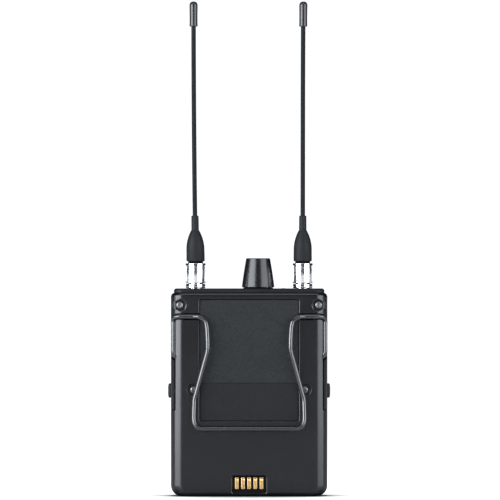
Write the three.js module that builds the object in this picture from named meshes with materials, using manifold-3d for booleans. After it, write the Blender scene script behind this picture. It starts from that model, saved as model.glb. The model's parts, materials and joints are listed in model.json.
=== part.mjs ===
// Wireless bodypack with two whip antennas, a volume knob, a wire belt clip and a battery door.
// Millimetres, +Z up. The origin is the middle of the flat base. The back, which carries the belt
// clip and the charging contacts, faces -Y; the display and the battery door face +Y. Left and right
// are as seen from the back: left is -X and right is +X.
import * as THREE from 'three';
import { mergeVertices } from 'three/addons/utils/BufferGeometryUtils.js';
import Module from 'manifold-3d';

const wasm = await Module();
wasm.setup();

// ---- driving dimensions ------------------------------------------------------------------------
const GAP = 0.3;                    // clearance between pieces that a shop would fit face to face
const SLIP = 0.15;                  // clearance of a small piece in its seat

const WIDTH = 64.5;                 // casing, side to side
const DEPTH = 22;                   // casing, back to front
const SHELL_TOP = 83.9;             // top of the casing under the top plate
const BODY_TOP = 85.5;              // top face of the top plate
const BACK_CORNER = 5;              // plan radius of the two back edges
const FRONT_CORNER = 4;             // plan radius of the two front edges
const FOOT_CORNER = 4.5;            // radius of the bottom corners seen from the back
const HEAD_CORNER = 1.9;            // radius of the top corners seen from the back
const RIM_ROUND = 1.6;              // rounding of the back and front faces' top and bottom edges

const WALL = 1.6;                   // front, top and bottom walls
const BACK_WALL = 2;                // back wall
const SIDE_WALL = 3.35;             // side walls of the upper half, outside to inside
const SEAM_Y = 0.85;                // parting plane of the back shell and the front bezel

const HINGE_Y = 8.6;                // battery door's axis
const HINGE_Z = 2.6;
const BARREL_RADIUS = 2.4;          // hinge barrel along the door's lower edge
const PIN_RADIUS = 0.8;
const PIN_END = 25.2;               // inner end of each hinge pin
const DOOR_REACH = 56.6;            // door's top edge, as a radius about its hinge
const DOOR_SKIN = 1.4;              // thickness of the door's face
const FLANGE = 1.5;                 // thickness of the door's side flanges
const EAR_LOW = 35.8;               // lower end of the ears that reach to the back edge
const RECESS_X = 30.35;             // floor of the side recesses
const RECESS_LOW = 35.5;
const RECESS_HIGH = 73.4;

const LATCH = { y: 1, z: 43.4, length: 11, height: 5.8, proud: 1.2, thick: 2 };

const CLIP_WIRE = 0.95;             // radius of the spring wire
const CLIP_Y = -11.2;               // axis of the clip's torsion bars
const CLIP_Z = 74;
const CLIP_SPLIT = 25.85;           // where the turning bar meets the fixed leg
const LEG_X = 31.3;                 // middle of the legs along the sides
const LEG_Y = -8.9;

const LABEL = { halfWidth: 20.55, low: 30.8, high: 81.3, split: 46.65, depth: 0.7, film: 0.3 };
const SCREWS = [[28.55, 78.7], [22.8, 43.85]];
const SCREW = { head: 1.7, shank: 0.9, bore: 2.15, ring: 2.7, seat: -9.85 };
const BOSS_RADIUS = 3;
const POST_RADIUS = 2.5;            // posts on the tray that the lower screws bite into

const CHARGE = { halfWidth: 7.1, low: 1.1, high: 8.6, pitch: 2.54, count: 5 };

const KNOB = {
  x: 3.7, low: 86, high: 98, topRadius: 4.95, footRadius: 6.68, skirt: 1,
  hollow: 5.3, hollowDepth: 2.9, bore: 2.2, flat: 1.65,
};
const POT = { half: 5, back: -4.5, front: 4.8, low: 77, bush: 3.2, bushTop: 88.3, shaft: 2, flat: 1.45 };
const PHONE = { x: -9.5, half: 3.5, low: 69, neck: 2.9, bore: 1.85, nut: 4 };   // headphone socket
const LED = { x: 14.2, y: 3.2, radius: 1.2 };

const ANTENNA_X = 22.1;
const THREAD_RADIUS = 3.1;          // outside of the antenna socket's thread
const RING_NUT = 4;                 // radius of the round nut on the antenna socket
const NUT_TOP = 87.4;
const NUT = { low: 87.7, high: 95.9, radius: 4.2, bore: 3.35, lip: 94.6 };
const BOOT = { low: 96.75, high: 115.6, radius: 3.8, shoulder: 3.78, collar: 1.6 };
const WHIP_RADIUS = 0.95;
const TIP = { low: 193.65, high: 204, radius: 1.7 };

const CELL = { x: 8.2, y: 2.2, radius: 7.1, length: 50.4, nub: 1.2 };
const TRAY = { halfWidth: 28.5, back: -6.3, wall: 1, low: 3.9, high: 58.6, bay: 16.2, front: 9.2 };

const DISPLAY = { x: -8, z: 72, width: 36, height: 16, rim: 1.5 };
const BUTTON = { x: 20.8, z: 72, pitch: 6, width: 7, height: 3.6, proud: 0.4 };
const IR = { x: 13.4, width: 3.4, height: 7 };

const BACK = -DEPTH / 2;
const FRONT = DEPTH / 2;
const INNER_X = WIDTH / 2 - SIDE_WALL;
const CEILING = SHELL_TOP - WALL;
const UNDER_ROOF = CEILING - 0.2;    // top of what hangs under the roof
const BEYOND = 40;                  // past the casing's sides, for cutting tools
const OVER_DOOR = 70;               // above the door's top edge, likewise

// ---- finishes ------------------------------------------------------------------------------------
const finish = (color, roughness, metalness) =>
  new THREE.MeshStandardMaterial({ color, roughness, metalness });
const housing = finish(0x323438, 0.5, 0.3);
const plastic = finish(0x2a2b2e, 0.55, 0);
const film = finish(0x3b3f42, 0.6, 0);
const rubber = finish(0x3d3f43, 0.6, 0);
const sleeve = finish(0x302e2d, 0.5, 0);
const gloss = finish(0x101114, 0.12, 0);
const chrome = finish(0xd8dadd, 0.12, 1);
const steel = finish(0x9a9ca0, 0.3, 1);
const gold = finish(0xc9a45c, 0.3, 1);
const wireCoat = finish(0x26272a, 0.35, 0.4);
const board = finish(0x1f4a33, 0.5, 0);
const cellCase = finish(0x3a4450, 0.35, 0.5);
const lens = finish(0x8fae9a, 0.2, 0);

// ---- solids --------------------------------------------------------------------------------------
function signedVolume(geometry) {
  const at = geometry.attributes.position;
  const corner = [new THREE.Vector3(), new THREE.Vector3(), new THREE.Vector3()];
  let sum = 0;
  for (let i = 0; i < geometry.index.count; i += 3) {
    corner.forEach((point, k) => point.fromBufferAttribute(at, geometry.index.getX(i + k)));
    sum += corner[0].dot(corner[1].clone().cross(corner[2])) / 6;
  }
  return sum;
}

// One skin of shared points, with no flattened triangles and every face pointing out.
function closed(geometry) {
  geometry.deleteAttribute('normal');
  geometry.deleteAttribute('uv');
  const merged = mergeVertices(geometry, 1e-5);
  const corners = merged.index.array;
  const kept = [];
  for (let i = 0; i < corners.length; i += 3) {
    const [a, b, c] = corners.slice(i, i + 3);
    if (a !== b && b !== c && c !== a) kept.push(a, b, c);
  }
  merged.setIndex(kept);
  return signedVolume(merged) < 0 ? turnedInsideOut(merged) : merged;
}

function turnedInsideOut(geometry) {
  const corners = Array.from(geometry.index.array);
  for (let i = 0; i < corners.length; i += 3) {
    [corners[i], corners[i + 1]] = [corners[i + 1], corners[i]];
  }
  geometry.setIndex(corners);
  return geometry;
}

function toSolid(geometry) {
  return new wasm.Manifold(new wasm.Mesh({
    numProp: 3,
    vertProperties: new Float32Array(geometry.attributes.position.array),
    triVerts: new Uint32Array(geometry.index.array),
  }));
}

function toGeometry(solid) {
  const { vertProperties, triVerts } = solid.getMesh();
  const geometry = new THREE.BufferGeometry();
  geometry.setAttribute('position', new THREE.BufferAttribute(vertProperties, 3));
  geometry.setIndex(new THREE.BufferAttribute(triVerts, 1));
  return geometry;
}

const join = (first, ...more) =>
  toGeometry(more.reduce((sum, next) => sum.add(toSolid(next)), toSolid(first)));
const cut = (body, ...tools) =>
  toGeometry(tools.reduce((left, tool) => left.subtract(toSolid(tool)), toSolid(body)));
const common = (first, second) => toGeometry(toSolid(first).intersect(toSolid(second)));

const moved = (geometry, x, y, z) => geometry.clone().translate(x, y, z);
const mirrored = (geometry) => closed(geometry.clone().scale(-1, 1, 1));
const bothSides = (geometry) => [geometry, mirrored(geometry)];

function block([x0, x1], [y0, y1], [z0, z1]) {
  const geometry = new THREE.BoxGeometry(x1 - x0, y1 - y0, z1 - z0);
  return closed(geometry.translate((x0 + x1) / 2, (y0 + y1) / 2, (z0 + z1) / 2));
}

// Rounded rectangle; radii run from the low-low corner round to the low-high one.
function panelShape([x0, x1], [y0, y1], radii) {
  const [r0, r1, r2, r3] = typeof radii === 'number' ? [radii, radii, radii, radii] : radii;
  const shape = new THREE.Shape();
  shape.absarc(x0 + r0, y0 + r0, r0, Math.PI, Math.PI * 1.5);
  shape.absarc(x1 - r1, y0 + r1, r1, Math.PI * 1.5, Math.PI * 2);
  shape.absarc(x1 - r2, y1 - r2, r2, 0, Math.PI / 2);
  shape.absarc(x0 + r3, y1 - r3, r3, Math.PI / 2, Math.PI);
  return shape;
}

function extruded(shape, length, round, detail) {
  return new THREE.ExtrudeGeometry(shape, {
    depth: length - 2 * round,
    bevelEnabled: round > 0,
    bevelThickness: round,
    bevelSize: round,
    bevelOffset: -round,
    bevelSegments: 2,
    curveSegments: detail,
  }).translate(0, 0, round);
}

const prismZ = (shape, [z0, z1], round = 0, detail = 2) =>
  closed(extruded(shape, z1 - z0, round, detail).translate(0, 0, z0));
const prismY = (shape, [y0, y1], round = 0, detail = 2) =>
  closed(extruded(shape, y1 - y0, round, detail).rotateX(Math.PI / 2).translate(0, y1, 0));

function prismX(shape, [x0, x1], round = 0, detail = 2) {
  const turn = new THREE.Matrix4().makeBasis(
    new THREE.Vector3(0, 1, 0), new THREE.Vector3(0, 0, 1), new THREE.Vector3(1, 0, 0));
  return closed(extruded(shape, x1 - x0, round, detail).applyMatrix4(turn).translate(x0, 0, 0));
}

function rod(radius, length, sides) {
  return new THREE.CylinderGeometry(radius, radius, length, sides);
}

const rodX = (y, z, radius, [x0, x1], sides = 16) =>
  closed(rod(radius, x1 - x0, sides).rotateZ(Math.PI / 2).translate((x0 + x1) / 2, y, z));
const rodY = (x, z, radius, [y0, y1], sides = 16) =>
  closed(rod(radius, y1 - y0, sides).translate(x, (y0 + y1) / 2, z));
const rodZ = (x, y, radius, [z0, z1], sides = 20) =>
  closed(rod(radius, z1 - z0, sides).rotateX(Math.PI / 2).translate(x, y, (z0 + z1) / 2));

// Turned piece about +Z from [radius, height] pairs that start and end on the axis.
function turned(profile, sides = 20) {
  const points = profile.map(([radius, height]) => new THREE.Vector2(radius, height));
  return closed(new THREE.LatheGeometry(points, sides).rotateX(Math.PI / 2));
}

function wire(points, radius, steps, sides = 8) {
  const path = new THREE.CatmullRomCurve3(
    points.map((point) => new THREE.Vector3(...point)), false, 'centripetal');
  const section = new THREE.Shape(Array.from({ length: sides }, (_, i) => {
    const angle = (i / sides) * 2 * Math.PI;
    return new THREE.Vector2(radius * Math.cos(angle), radius * Math.sin(angle));
  }));
  return closed(new THREE.ExtrudeGeometry(section, { steps, extrudePath: path }));
}

function nutRing(flats, bore, z) {
  const outer = closed(rod(flats / 2 / Math.cos(Math.PI / 6), z[1] - z[0], 6)
    .rotateX(Math.PI / 2).translate(0, 0, (z[0] + z[1]) / 2));
  return cut(outer, rodZ(0, 0, bore, [z[0] - 1, z[1] + 1]));
}

const object = new THREE.Group();
function add(name, geometry, material, parent = object) {
  const mesh = new THREE.Mesh(geometry, material);
  mesh.name = name;
  parent.add(mesh);
  return mesh;
}

// ---- casing ----------------------------------------------------------------------------------------
const halfWidth = WIDTH / 2;
const envelope = common(
  prismZ(panelShape([-halfWidth, halfWidth], [BACK, FRONT],
    [BACK_CORNER, BACK_CORNER, FRONT_CORNER, FRONT_CORNER]), [0, SHELL_TOP]),
  prismY(panelShape([-halfWidth, halfWidth], [0, SHELL_TOP],
    [FOOT_CORNER, FOOT_CORNER, HEAD_CORNER, HEAD_CORNER]), [BACK, FRONT], RIM_ROUND));

const aboutHinge = (radius, x, sides) => rodX(HINGE_Y, HINGE_Z, radius, x, sides);
const ALL_X = [-BEYOND, BEYOND];
const RIGHT_RECESS = [RECESS_X, BEYOND];

// Holes that the sockets, the volume control and the lights need in the roof.
function roofHoles(phoneRadius) {
  const z = [CEILING - 1, BODY_TOP + 1];
  return [
    ...bothSides(rodZ(ANTENNA_X, 0, THREAD_RADIUS + GAP, z)),
    rodZ(KNOB.x, 0, 3.5, z),
    rodZ(PHONE.x, 0, phoneRadius, z),
    rodZ(LED.x, -LED.y, LED.radius + SLIP, z, 16),
    rodZ(LED.x, LED.y, LED.radius + SLIP, z, 16),
  ];
}

const legRoute = [
  [CLIP_SPLIT + SLIP, CLIP_Y, CLIP_Z], [27.4, CLIP_Y, CLIP_Z], [29.3, -10.9, CLIP_Z],
  [30.7, -9.9, 73.6], [LEG_X, LEG_Y, 72.3], [LEG_X, LEG_Y, 70], [LEG_X, LEG_Y, 62],
  [LEG_X, LEG_Y, 59.6], [31, LEG_Y, 58.5], [30.3, LEG_Y, 57.6], [29.6, LEG_Y, 57]];

function rearShell() {
  const tub = cut(
    common(envelope, block(ALL_X, [BACK - 1, SEAM_Y - SLIP], [-1, SHELL_TOP + 1])),
    block([-INNER_X, INNER_X], [BACK + BACK_WALL, FRONT], [WALL, CEILING]));
  const cheek = common(envelope, common(
    aboutHinge(DOOR_REACH, [INNER_X, RECESS_X], 144),
    join(block([INNER_X, RECESS_X], [0, TRAY.front], [-1, 60]),
      aboutHinge(BARREL_RADIUS - 0.2, [INNER_X, RECESS_X]))));
  const floor = common(envelope,
    block([-INNER_X, INNER_X], [0, 7], [-1, WALL]));
  const bosses = SCREWS.slice(0, 1).flatMap(([x, z]) =>
    bothSides(rodY(x, z, BOSS_RADIUS, [BACK + BACK_WALL - 0.5, SEAM_Y - SLIP])));

  const earRecess = common(aboutHinge(DOOR_REACH + GAP, RIGHT_RECESS, 144),
    block(RIGHT_RECESS, [BACK - 1, FRONT], [RECESS_LOW, 60]));
  const legRecess = block(RIGHT_RECESS, [BACK - 1, LEG_Y + CLIP_WIRE + 0.4],
    [55, RECESS_HIGH]);
  const screwSeats = SCREWS.map(([x, z]) => join(
    rodY(x, z, SCREW.bore, [BACK - 1, SCREW.seat]),
    rodY(x, z, SCREW.shank + GAP, [BACK - 1, FRONT], 12),
    moved(turned([[0, 0], [SCREW.bore, 0], [SCREW.ring + 1, 1.5], [0, 1.5]], 16)
      .rotateX(Math.PI / 2), x, BACK + 0.55, z)));
  const barGroove = rodX(CLIP_Y, CLIP_Z, CLIP_WIRE + GAP, [19, CLIP_SPLIT + 1], 16);
  const legGroove = wire(legRoute, CLIP_WIRE + GAP, 14);
  const footNotch = block([29, 30.6], [BACK - 1, BACK + 3], [1, 2.6]);

  const handed = [earRecess, legRecess, ...screwSeats, barGroove, legGroove, footNotch,
    rodX(HINGE_Y, HINGE_Z, PIN_RADIUS + 0.2, [INNER_X - 1, BEYOND], 12)];
  return cut(join(tub, floor, ...bothSides(cheek), ...bosses),
    aboutHinge(BARREL_RADIUS + 0.35, [-INNER_X, INNER_X], 32),
    prismY(panelShape([-LABEL.halfWidth, LABEL.halfWidth], [LABEL.low, LABEL.high], 1),
      [BACK - 1, BACK + LABEL.depth]),
    prismY(panelShape([-CHARGE.halfWidth, CHARGE.halfWidth], [CHARGE.low, CHARGE.high], 0.8),
      [BACK - 1, BACK + BACK_WALL + 0.1]),
    ...roofHoles(3.2),
    ...handed.flatMap(bothSides));
}

function frontBezel() {
  const front = [SEAM_Y + SLIP, FRONT + 1];
  const skin = FRONT - WALL;
  const body = cut(common(envelope, block(ALL_X, front, [50, SHELL_TOP + 1])),
    aboutHinge(DOOR_REACH + 0.4, ALL_X, 144),
    block([-INNER_X, INNER_X], [0, skin], [61, CEILING]));
  const [x, z] = SCREWS[0];
  const windowHole = (grow, y) => prismY(panelShape(
    [DISPLAY.x - DISPLAY.width / 2 - grow, DISPLAY.x + DISPLAY.width / 2 + grow],
    [DISPLAY.z - DISPLAY.height / 2 - grow, DISPLAY.z + DISPLAY.height / 2 + grow], 1), y);
  const buttonHoles = [-1, 0, 1].map((row) => buttonShape(row, SLIP, [skin - 1, FRONT + 1]));
  return cut(join(body, ...bothSides(rodY(x, z, BOSS_RADIUS, [SEAM_Y + SLIP, skin + 0.5]))),
    ...bothSides(rodY(x, z, SCREW.shank + GAP, [0, 6], 12)),
    windowHole(SLIP, [FRONT - 0.95, FRONT + 1]),
    windowHole(-DISPLAY.rim, [skin - 1, FRONT]),
    irShape(SLIP, [skin - 1, FRONT + 1]),
    ...buttonHoles,
    ...roofHoles(3.2));
}

function buttonShape(row, grow, y) {
  const z = BUTTON.z + row * BUTTON.pitch;
  return prismY(panelShape(
    [BUTTON.x - BUTTON.width / 2 - grow, BUTTON.x + BUTTON.width / 2 + grow],
    [z - BUTTON.height / 2 - grow, z + BUTTON.height / 2 + grow], 1), y, 0, 1);
}

function irShape(grow, y) {
  return prismY(panelShape([IR.x - IR.width / 2 - grow, IR.x + IR.width / 2 + grow],
    [DISPLAY.z - IR.height / 2 - grow, DISPLAY.z + IR.height / 2 + grow], 1), y);
}

function topPlate() {
  const half = halfWidth - 1.25;
  return cut(prismZ(panelShape([-half, half], [BACK + 1.2, FRONT - 1.2], 3.8),
    [SHELL_TOP + 0.2, BODY_TOP], 0.5), ...roofHoles(4.2));
}

function screw(name, x, z, length) {
  const head = turned([[0, 0], [SCREW.head, 0], [SCREW.head, 0.3], [1.35, 0.65], [0.8, 0.82],
    [0, 0.85]], 12).rotateX(Math.PI / 2);
  const socket = rodY(0, 0, 0.75, [-1, -0.35], 6);
  const shank = rodY(0, 0, SCREW.shank, [-0.2, length], 10);
  const mesh = add(name, join(cut(head, socket), shank), steel);
  mesh.position.set(x, SCREW.seat - SLIP, z);
}

add('rear_shell', rearShell(), housing);
add('front_bezel', frontBezel(), housing);
add('top_plate', topPlate(), plastic);

for (const [side, sign] of [['left', -1], ['right', 1]]) {
  screw(`rear_screw_upper_${side}`, sign * SCREWS[0][0], SCREWS[0][1], 14.5);
  screw(`rear_screw_lower_${side}`, sign * SCREWS[1][0], SCREWS[1][1], 4.1);
}

// ---- label films in the shallow panel on the back ---------------------------------------------------
for (const [name, low, high] of [['label_upper', LABEL.split, LABEL.high],
  ['label_lower', LABEL.low, LABEL.split]]) {
  const back = BACK + LABEL.depth - SLIP - LABEL.film;
  const edge = LABEL.halfWidth - SLIP;
  add(name, prismY(panelShape([-edge, edge], [low + SLIP, high - SLIP], 0.85),
    [back, back + LABEL.film]), film);
}

// ---- charging contacts ----------------------------------------------------------------------------
const chargePlace = (index) => (index - (CHARGE.count - 1) / 2) * CHARGE.pitch;
const chargeShape = (grow) => panelShape([-0.75 - grow, 0.75 + grow], [2.65 - grow, 7.95 + grow], 0.3);
const chargeIndexes = Array.from({ length: CHARGE.count }, (_, index) => index);

add('charge_contact_block', cut(
  prismY(panelShape([-CHARGE.halfWidth + 0.25, CHARGE.halfWidth - 0.25],
    [CHARGE.low + 0.25, CHARGE.high - 0.25], 0.6), [BACK + 0.7, BACK + BACK_WALL + 0.05]),
  ...chargeIndexes.map((index) =>
    moved(prismY(chargeShape(SLIP), [BACK, BACK + 1.7], 0, 1), chargePlace(index), 0, 0))), plastic);
for (const index of chargeIndexes) {
  const contact = prismY(chargeShape(0), [BACK + 0.4, BACK + 1.5], 0, 1);
  add(`charge_contact_${index + 1}`, contact, gold).position.x = chargePlace(index);
}

// ---- electronics -----------------------------------------------------------------------------------
const boardSpan = [BACK + BACK_WALL + GAP, BACK + BACK_WALL + GAP + 1.2];
add('main_board', cut(block([-28.3, 28.3], boardSpan, [4.5, 81.3]),
  ...SCREWS.flatMap(([x, z]) => bothSides(rodY(x, z, BOSS_RADIUS + GAP, [BACK, 0])))), board);
add('shield_can', prismY(panelShape([-26, -1], [61, 75], 1), [boardSpan[1] + 0.2, -4.2], 0, 1), steel);
add('display_module', block([DISPLAY.x - 17.2, DISPLAY.x + 17.2], [5.8, 9.1], [63, 81]), plastic);
add('display_window', prismY(panelShape(
  [DISPLAY.x - DISPLAY.width / 2, DISPLAY.x + DISPLAY.width / 2],
  [DISPLAY.z - DISPLAY.height / 2, DISPLAY.z + DISPLAY.height / 2], 0.9),
[FRONT - 0.8, FRONT - 0.1]), gloss);
add('ir_window', irShape(0, [FRONT - WALL, FRONT - 0.1]), gloss);

for (const [name, row] of [['menu_button_up', 1], ['menu_button_enter', 0], ['menu_button_down', -1]]) {
  const cap = buttonShape(row, 0, [FRONT - WALL - 0.5, FRONT + BUTTON.proud]);
  const shoulder = buttonShape(row, 0.7, [FRONT - WALL - 1.1, FRONT - WALL - GAP]);
  add(name, join(cap, shoulder), plastic);
}

for (const [name, y] of [['led_pipe_link', -LED.y], ['led_pipe_battery', LED.y]]) {
  add(name, turned([[0, 78], [LED.radius, 78], [LED.radius, 85.4], [0.75, 85.65], [0, 85.7]], 16), lens)
    .position.set(LED.x, y, 0);
}

// ---- headphone socket --------------------------------------------------------------------------------
add('phone_jack', cut(
  join(block([-PHONE.half, PHONE.half], [-PHONE.half, PHONE.half], [PHONE.low, UNDER_ROOF]),
    rodZ(0, 0, PHONE.neck, [UNDER_ROOF - 0.1, BODY_TOP - 0.2])),
  rodZ(0, 0, PHONE.bore, [PHONE.low + 1.5, BODY_TOP + 1])), plastic).position.x = PHONE.x;
add('phone_jack_nut', cut(rodZ(0, 0, PHONE.nut, [SHELL_TOP + GAP, BODY_TOP - 0.05], 32),
  rodZ(0, 0, PHONE.neck + SLIP, [CEILING, BODY_TOP + 1])), steel).position.x = PHONE.x;

// ---- volume control ---------------------------------------------------------------------------------
const dShaft = (radius, flat, z) =>
  cut(rodZ(0, 0, radius, z, 20), block([-5, 5], [flat, 5], [KNOB.low + 3, KNOB.high + 1]));

function volumeKnob() {
  const profile = [[0, KNOB.low], [KNOB.footRadius - 0.2, KNOB.low],
    [KNOB.footRadius, KNOB.low + 0.2], [KNOB.footRadius - 0.06, KNOB.low + KNOB.skirt],
    [KNOB.topRadius, KNOB.high - 0.5],
    [KNOB.topRadius - 0.5, KNOB.high], [0, KNOB.high]];
  return cut(turned(profile, 32), rodZ(0, 0, KNOB.hollow, [KNOB.low - 1, KNOB.low + KNOB.hollowDepth]),
    dShaft(KNOB.bore, KNOB.flat, [KNOB.low, KNOB.high - 2]));
}

const volume = new THREE.Group();
volume.position.x = KNOB.x;
object.add(volume);
add('pot_body', cut(
  join(block([-POT.half, POT.half], [POT.back, POT.front], [POT.low, UNDER_ROOF]),
    rodZ(0, 0, POT.bush, [UNDER_ROOF - 0.1, POT.bushTop])),
  rodZ(0, 0, POT.shaft + SLIP, [POT.low + 2, POT.bushTop + 1])), steel, volume);
add('pot_nut', nutRing(8, POT.bush + SLIP, [BODY_TOP + SLIP, NUT_TOP]), steel, volume);
add('pot_shaft', dShaft(POT.shaft, POT.flat, [POT.low + 2.3, KNOB.high - 2.4]), steel, volume);
add('volume_knob', volumeKnob(), plastic, volume);

// ---- antennas: a socket in the roof, a screwed coupling nut and a whip --------------------------------
function antennaJack() {
  const barrel = turned([[0, 81.5], [THREAD_RADIUS, 81.5], [THREAD_RADIUS, 93.3], [2.85, 93.6],
    [2.35, 93.6], [2.35, 88.5], [0.65, 88.5], [0.65, 92.2], [0.4, 92.5], [0, 92.5]], 16);
  return join(block([-3.2, 3.2], [-3.8, 3.8], [77.6, 82.1]), barrel);
}

function jackNut() {
  const bore = THREAD_RADIUS + SLIP;
  const low = BODY_TOP + 0.1;
  return turned([[bore, low], [RING_NUT, low], [RING_NUT, NUT_TOP - 0.3], [RING_NUT - 0.3, NUT_TOP],
    [bore, NUT_TOP], [bore, low]], 24);
}

function couplingNut() {
  return turned([[2.7, NUT.high], [2.7, NUT.lip], [NUT.bore, NUT.lip], [NUT.bore, NUT.low],
    [NUT.radius - 0.3, NUT.low], [NUT.radius, NUT.low + 0.3], [NUT.radius, NUT.high - 0.3],
    [NUT.radius - 0.3, NUT.high], [2.7, NUT.high]], 20);
}

const ferrule = () => turned([[0, 92.9], [0.85, 92.9], [0.85, 89.5], [2.1, 89.5], [2.1, 93.8],
  [3.1, 93.8], [3.1, NUT.lip - 0.2], [2.5, NUT.lip - 0.2], [2.5, NUT.high + 0.1],
  [3.1, NUT.high + 0.1], [3.1, BOOT.low - SLIP], [0, BOOT.low - SLIP]], 14);

// Rubber boot: a slightly tapered foot, an ogive shoulder and a slim collar round the whip.
function boot() {
  const foot = BOOT.low + 4.9;
  const neck = BOOT.low + 12.8;
  const shoulder = Array.from({ length: 4 }, (_, i) => {
    const t = i / 3;
    const radius = BOOT.collar + (BOOT.shoulder - BOOT.collar) * Math.cos(t * Math.PI / 2) ** 0.8;
    return [radius, foot + (neck - foot) * t];
  });
  const bore = WHIP_RADIUS + SLIP;
  return turned([[0, BOOT.low], [BOOT.radius - 0.2, BOOT.low], [BOOT.radius, BOOT.low + 0.2],
    ...shoulder, [BOOT.collar - 0.05, neck + 0.6], [BOOT.collar - 0.1, BOOT.high - 0.2],
    [BOOT.collar - 0.25, BOOT.high], [bore, BOOT.high],
    [bore, BOOT.high - 6], [0, BOOT.high - 6]], 16);
}

const whip = () => turned([[0, BOOT.high - 5.8], [WHIP_RADIUS, BOOT.high - 5.8],
  [WHIP_RADIUS, TIP.low + 4.8], [0, TIP.low + 4.8]], 12);

const tipCap = () => turned([[0, TIP.low + 5], [WHIP_RADIUS + SLIP, TIP.low + 5],
  [WHIP_RADIUS + SLIP, TIP.low], [TIP.radius - 0.15, TIP.low], [TIP.radius, TIP.low + 0.15],
  [TIP.radius, TIP.high - 1.5], [1.2, TIP.high - 0.4], [0, TIP.high]], 12);

for (const [side, sign] of [['left', -1], ['right', 1]]) {
  const antenna = new THREE.Group();
  antenna.position.x = sign * ANTENNA_X;
  object.add(antenna);
  add(`antenna_jack_${side}`, antennaJack(), chrome, antenna);
  add(`antenna_jack_nut_${side}`, jackNut(), chrome, antenna);
  add(`coupling_nut_${side}`, couplingNut(), chrome, antenna);
  add(`antenna_ferrule_${side}`, ferrule(), steel, antenna);
  add(`antenna_boot_${side}`, boot(), rubber, antenna);
  add(`antenna_whip_${side}`, whip(), sleeve, antenna);
  add(`antenna_tip_${side}`, tipCap(), gloss, antenna);
}

// ---- belt clip: one spring wire, its two legs held in the sides and its loop turning on the bars ------
const loopHalf = [
  [CLIP_SPLIT - SLIP, CLIP_Y, CLIP_Z], [22.9, CLIP_Y, CLIP_Z], [20.9, -11.95, 73.9],
  [18.5, -12.3, 72.6], [17.5, -12.6, 70.3], [17.05, -13.1, 65.5], [17, -13.4, 62], [17.2, -13.4, 59],
  [18.9, -12.9, 53.1], [21, -12.4, 44.9], [22, -12.25, 41.4], [22.7, -12.4, 38], [22.75, -13.1, 33],
  [22.5, -13.6, 30.4], [21.5, -13.9, 28.6], [19.7, -14.05, 27.8], [16, -14.05, 27.8]];
const loopRoute = [...loopHalf.map(([x, y, z]) => [-x, y, z]), ...loopHalf.slice().reverse()];

add('clip_loop', wire(loopRoute, CLIP_WIRE, 54), wireCoat);
add('clip_leg_right', wire(legRoute, CLIP_WIRE, 14), wireCoat);
add('clip_leg_left', mirrored(wire(legRoute, CLIP_WIRE, 14)), wireCoat);

// ---- battery bay -----------------------------------------------------------------------------------
function batteryTray() {
  const { halfWidth: half, back, wall, low, high, bay, front } = TRAY;
  const inner = back + wall + 0.1;
  const sheet = block([-half, half], [back, inner], [low, high]);
  const partitions = bothSides(block([bay, bay + wall], [back, front], [low, high]));
  const floor = block([-bay - wall, bay + wall], [back, front], [low, low + wall]);
  const roof = block([-bay - wall, bay + wall], [back, front], [high - wall, high]);
  const [x, z] = SCREWS[1];
  const posts = bothSides(rodY(x, z, POST_RADIUS, [BACK + BACK_WALL + 0.1, inner]));
  return cut(join(sheet, ...partitions, floor, roof, ...posts),
    aboutHinge(BARREL_RADIUS + 0.35, ALL_X, 32),
    ...bothSides(rodY(x, z, SCREW.shank + GAP, [BACK, inner + 1], 12)));
}

function contactSpring() {
  const turns = 2.5;
  const steps = 25;
  const route = Array.from({ length: steps + 1 }, (_, i) => {
    const t = i / steps;
    const angle = t * turns * 2 * Math.PI;
    const radius = 4.6 - 2 * t;
    return [radius * Math.cos(angle), radius * Math.sin(angle), 0.4 + 0.75 * t];
  });
  return wire(route, 0.33, 26, 5);
}

const cell = turned([[0, 0], [CELL.radius - 0.4, 0], [CELL.radius, 0.4],
  [CELL.radius, CELL.length - CELL.nub - 0.4], [CELL.radius - 0.4, CELL.length - CELL.nub],
  [2.75, CELL.length - CELL.nub], [2.75, CELL.length], [0, CELL.length]]);
const trayFloor = TRAY.low + TRAY.wall;
const trayRoof = TRAY.high - TRAY.wall;

add('battery_tray', batteryTray(), plastic);
for (const [side, sign] of [['left', -1], ['right', 1]]) {
  // The left cell stands with its nub up and the right one with its nub down.
  const bay = new THREE.Group();
  bay.position.set(sign * CELL.x, CELL.y, sign < 0 ? trayFloor : trayRoof);
  bay.rotation.x = sign < 0 ? 0 : Math.PI;
  object.add(bay);
  add(`battery_cell_${side}`, moved(cell, 0, 0, 1.7), cellCase, bay);
  add(`contact_spring_${side}`, contactSpring(), steel, bay);
  const far = trayRoof - trayFloor;
  add(`contact_plate_${side}`, block([-4.5, 4.5], [-4, 4], [far - 0.45, far - SLIP]), steel, bay);
}

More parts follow.
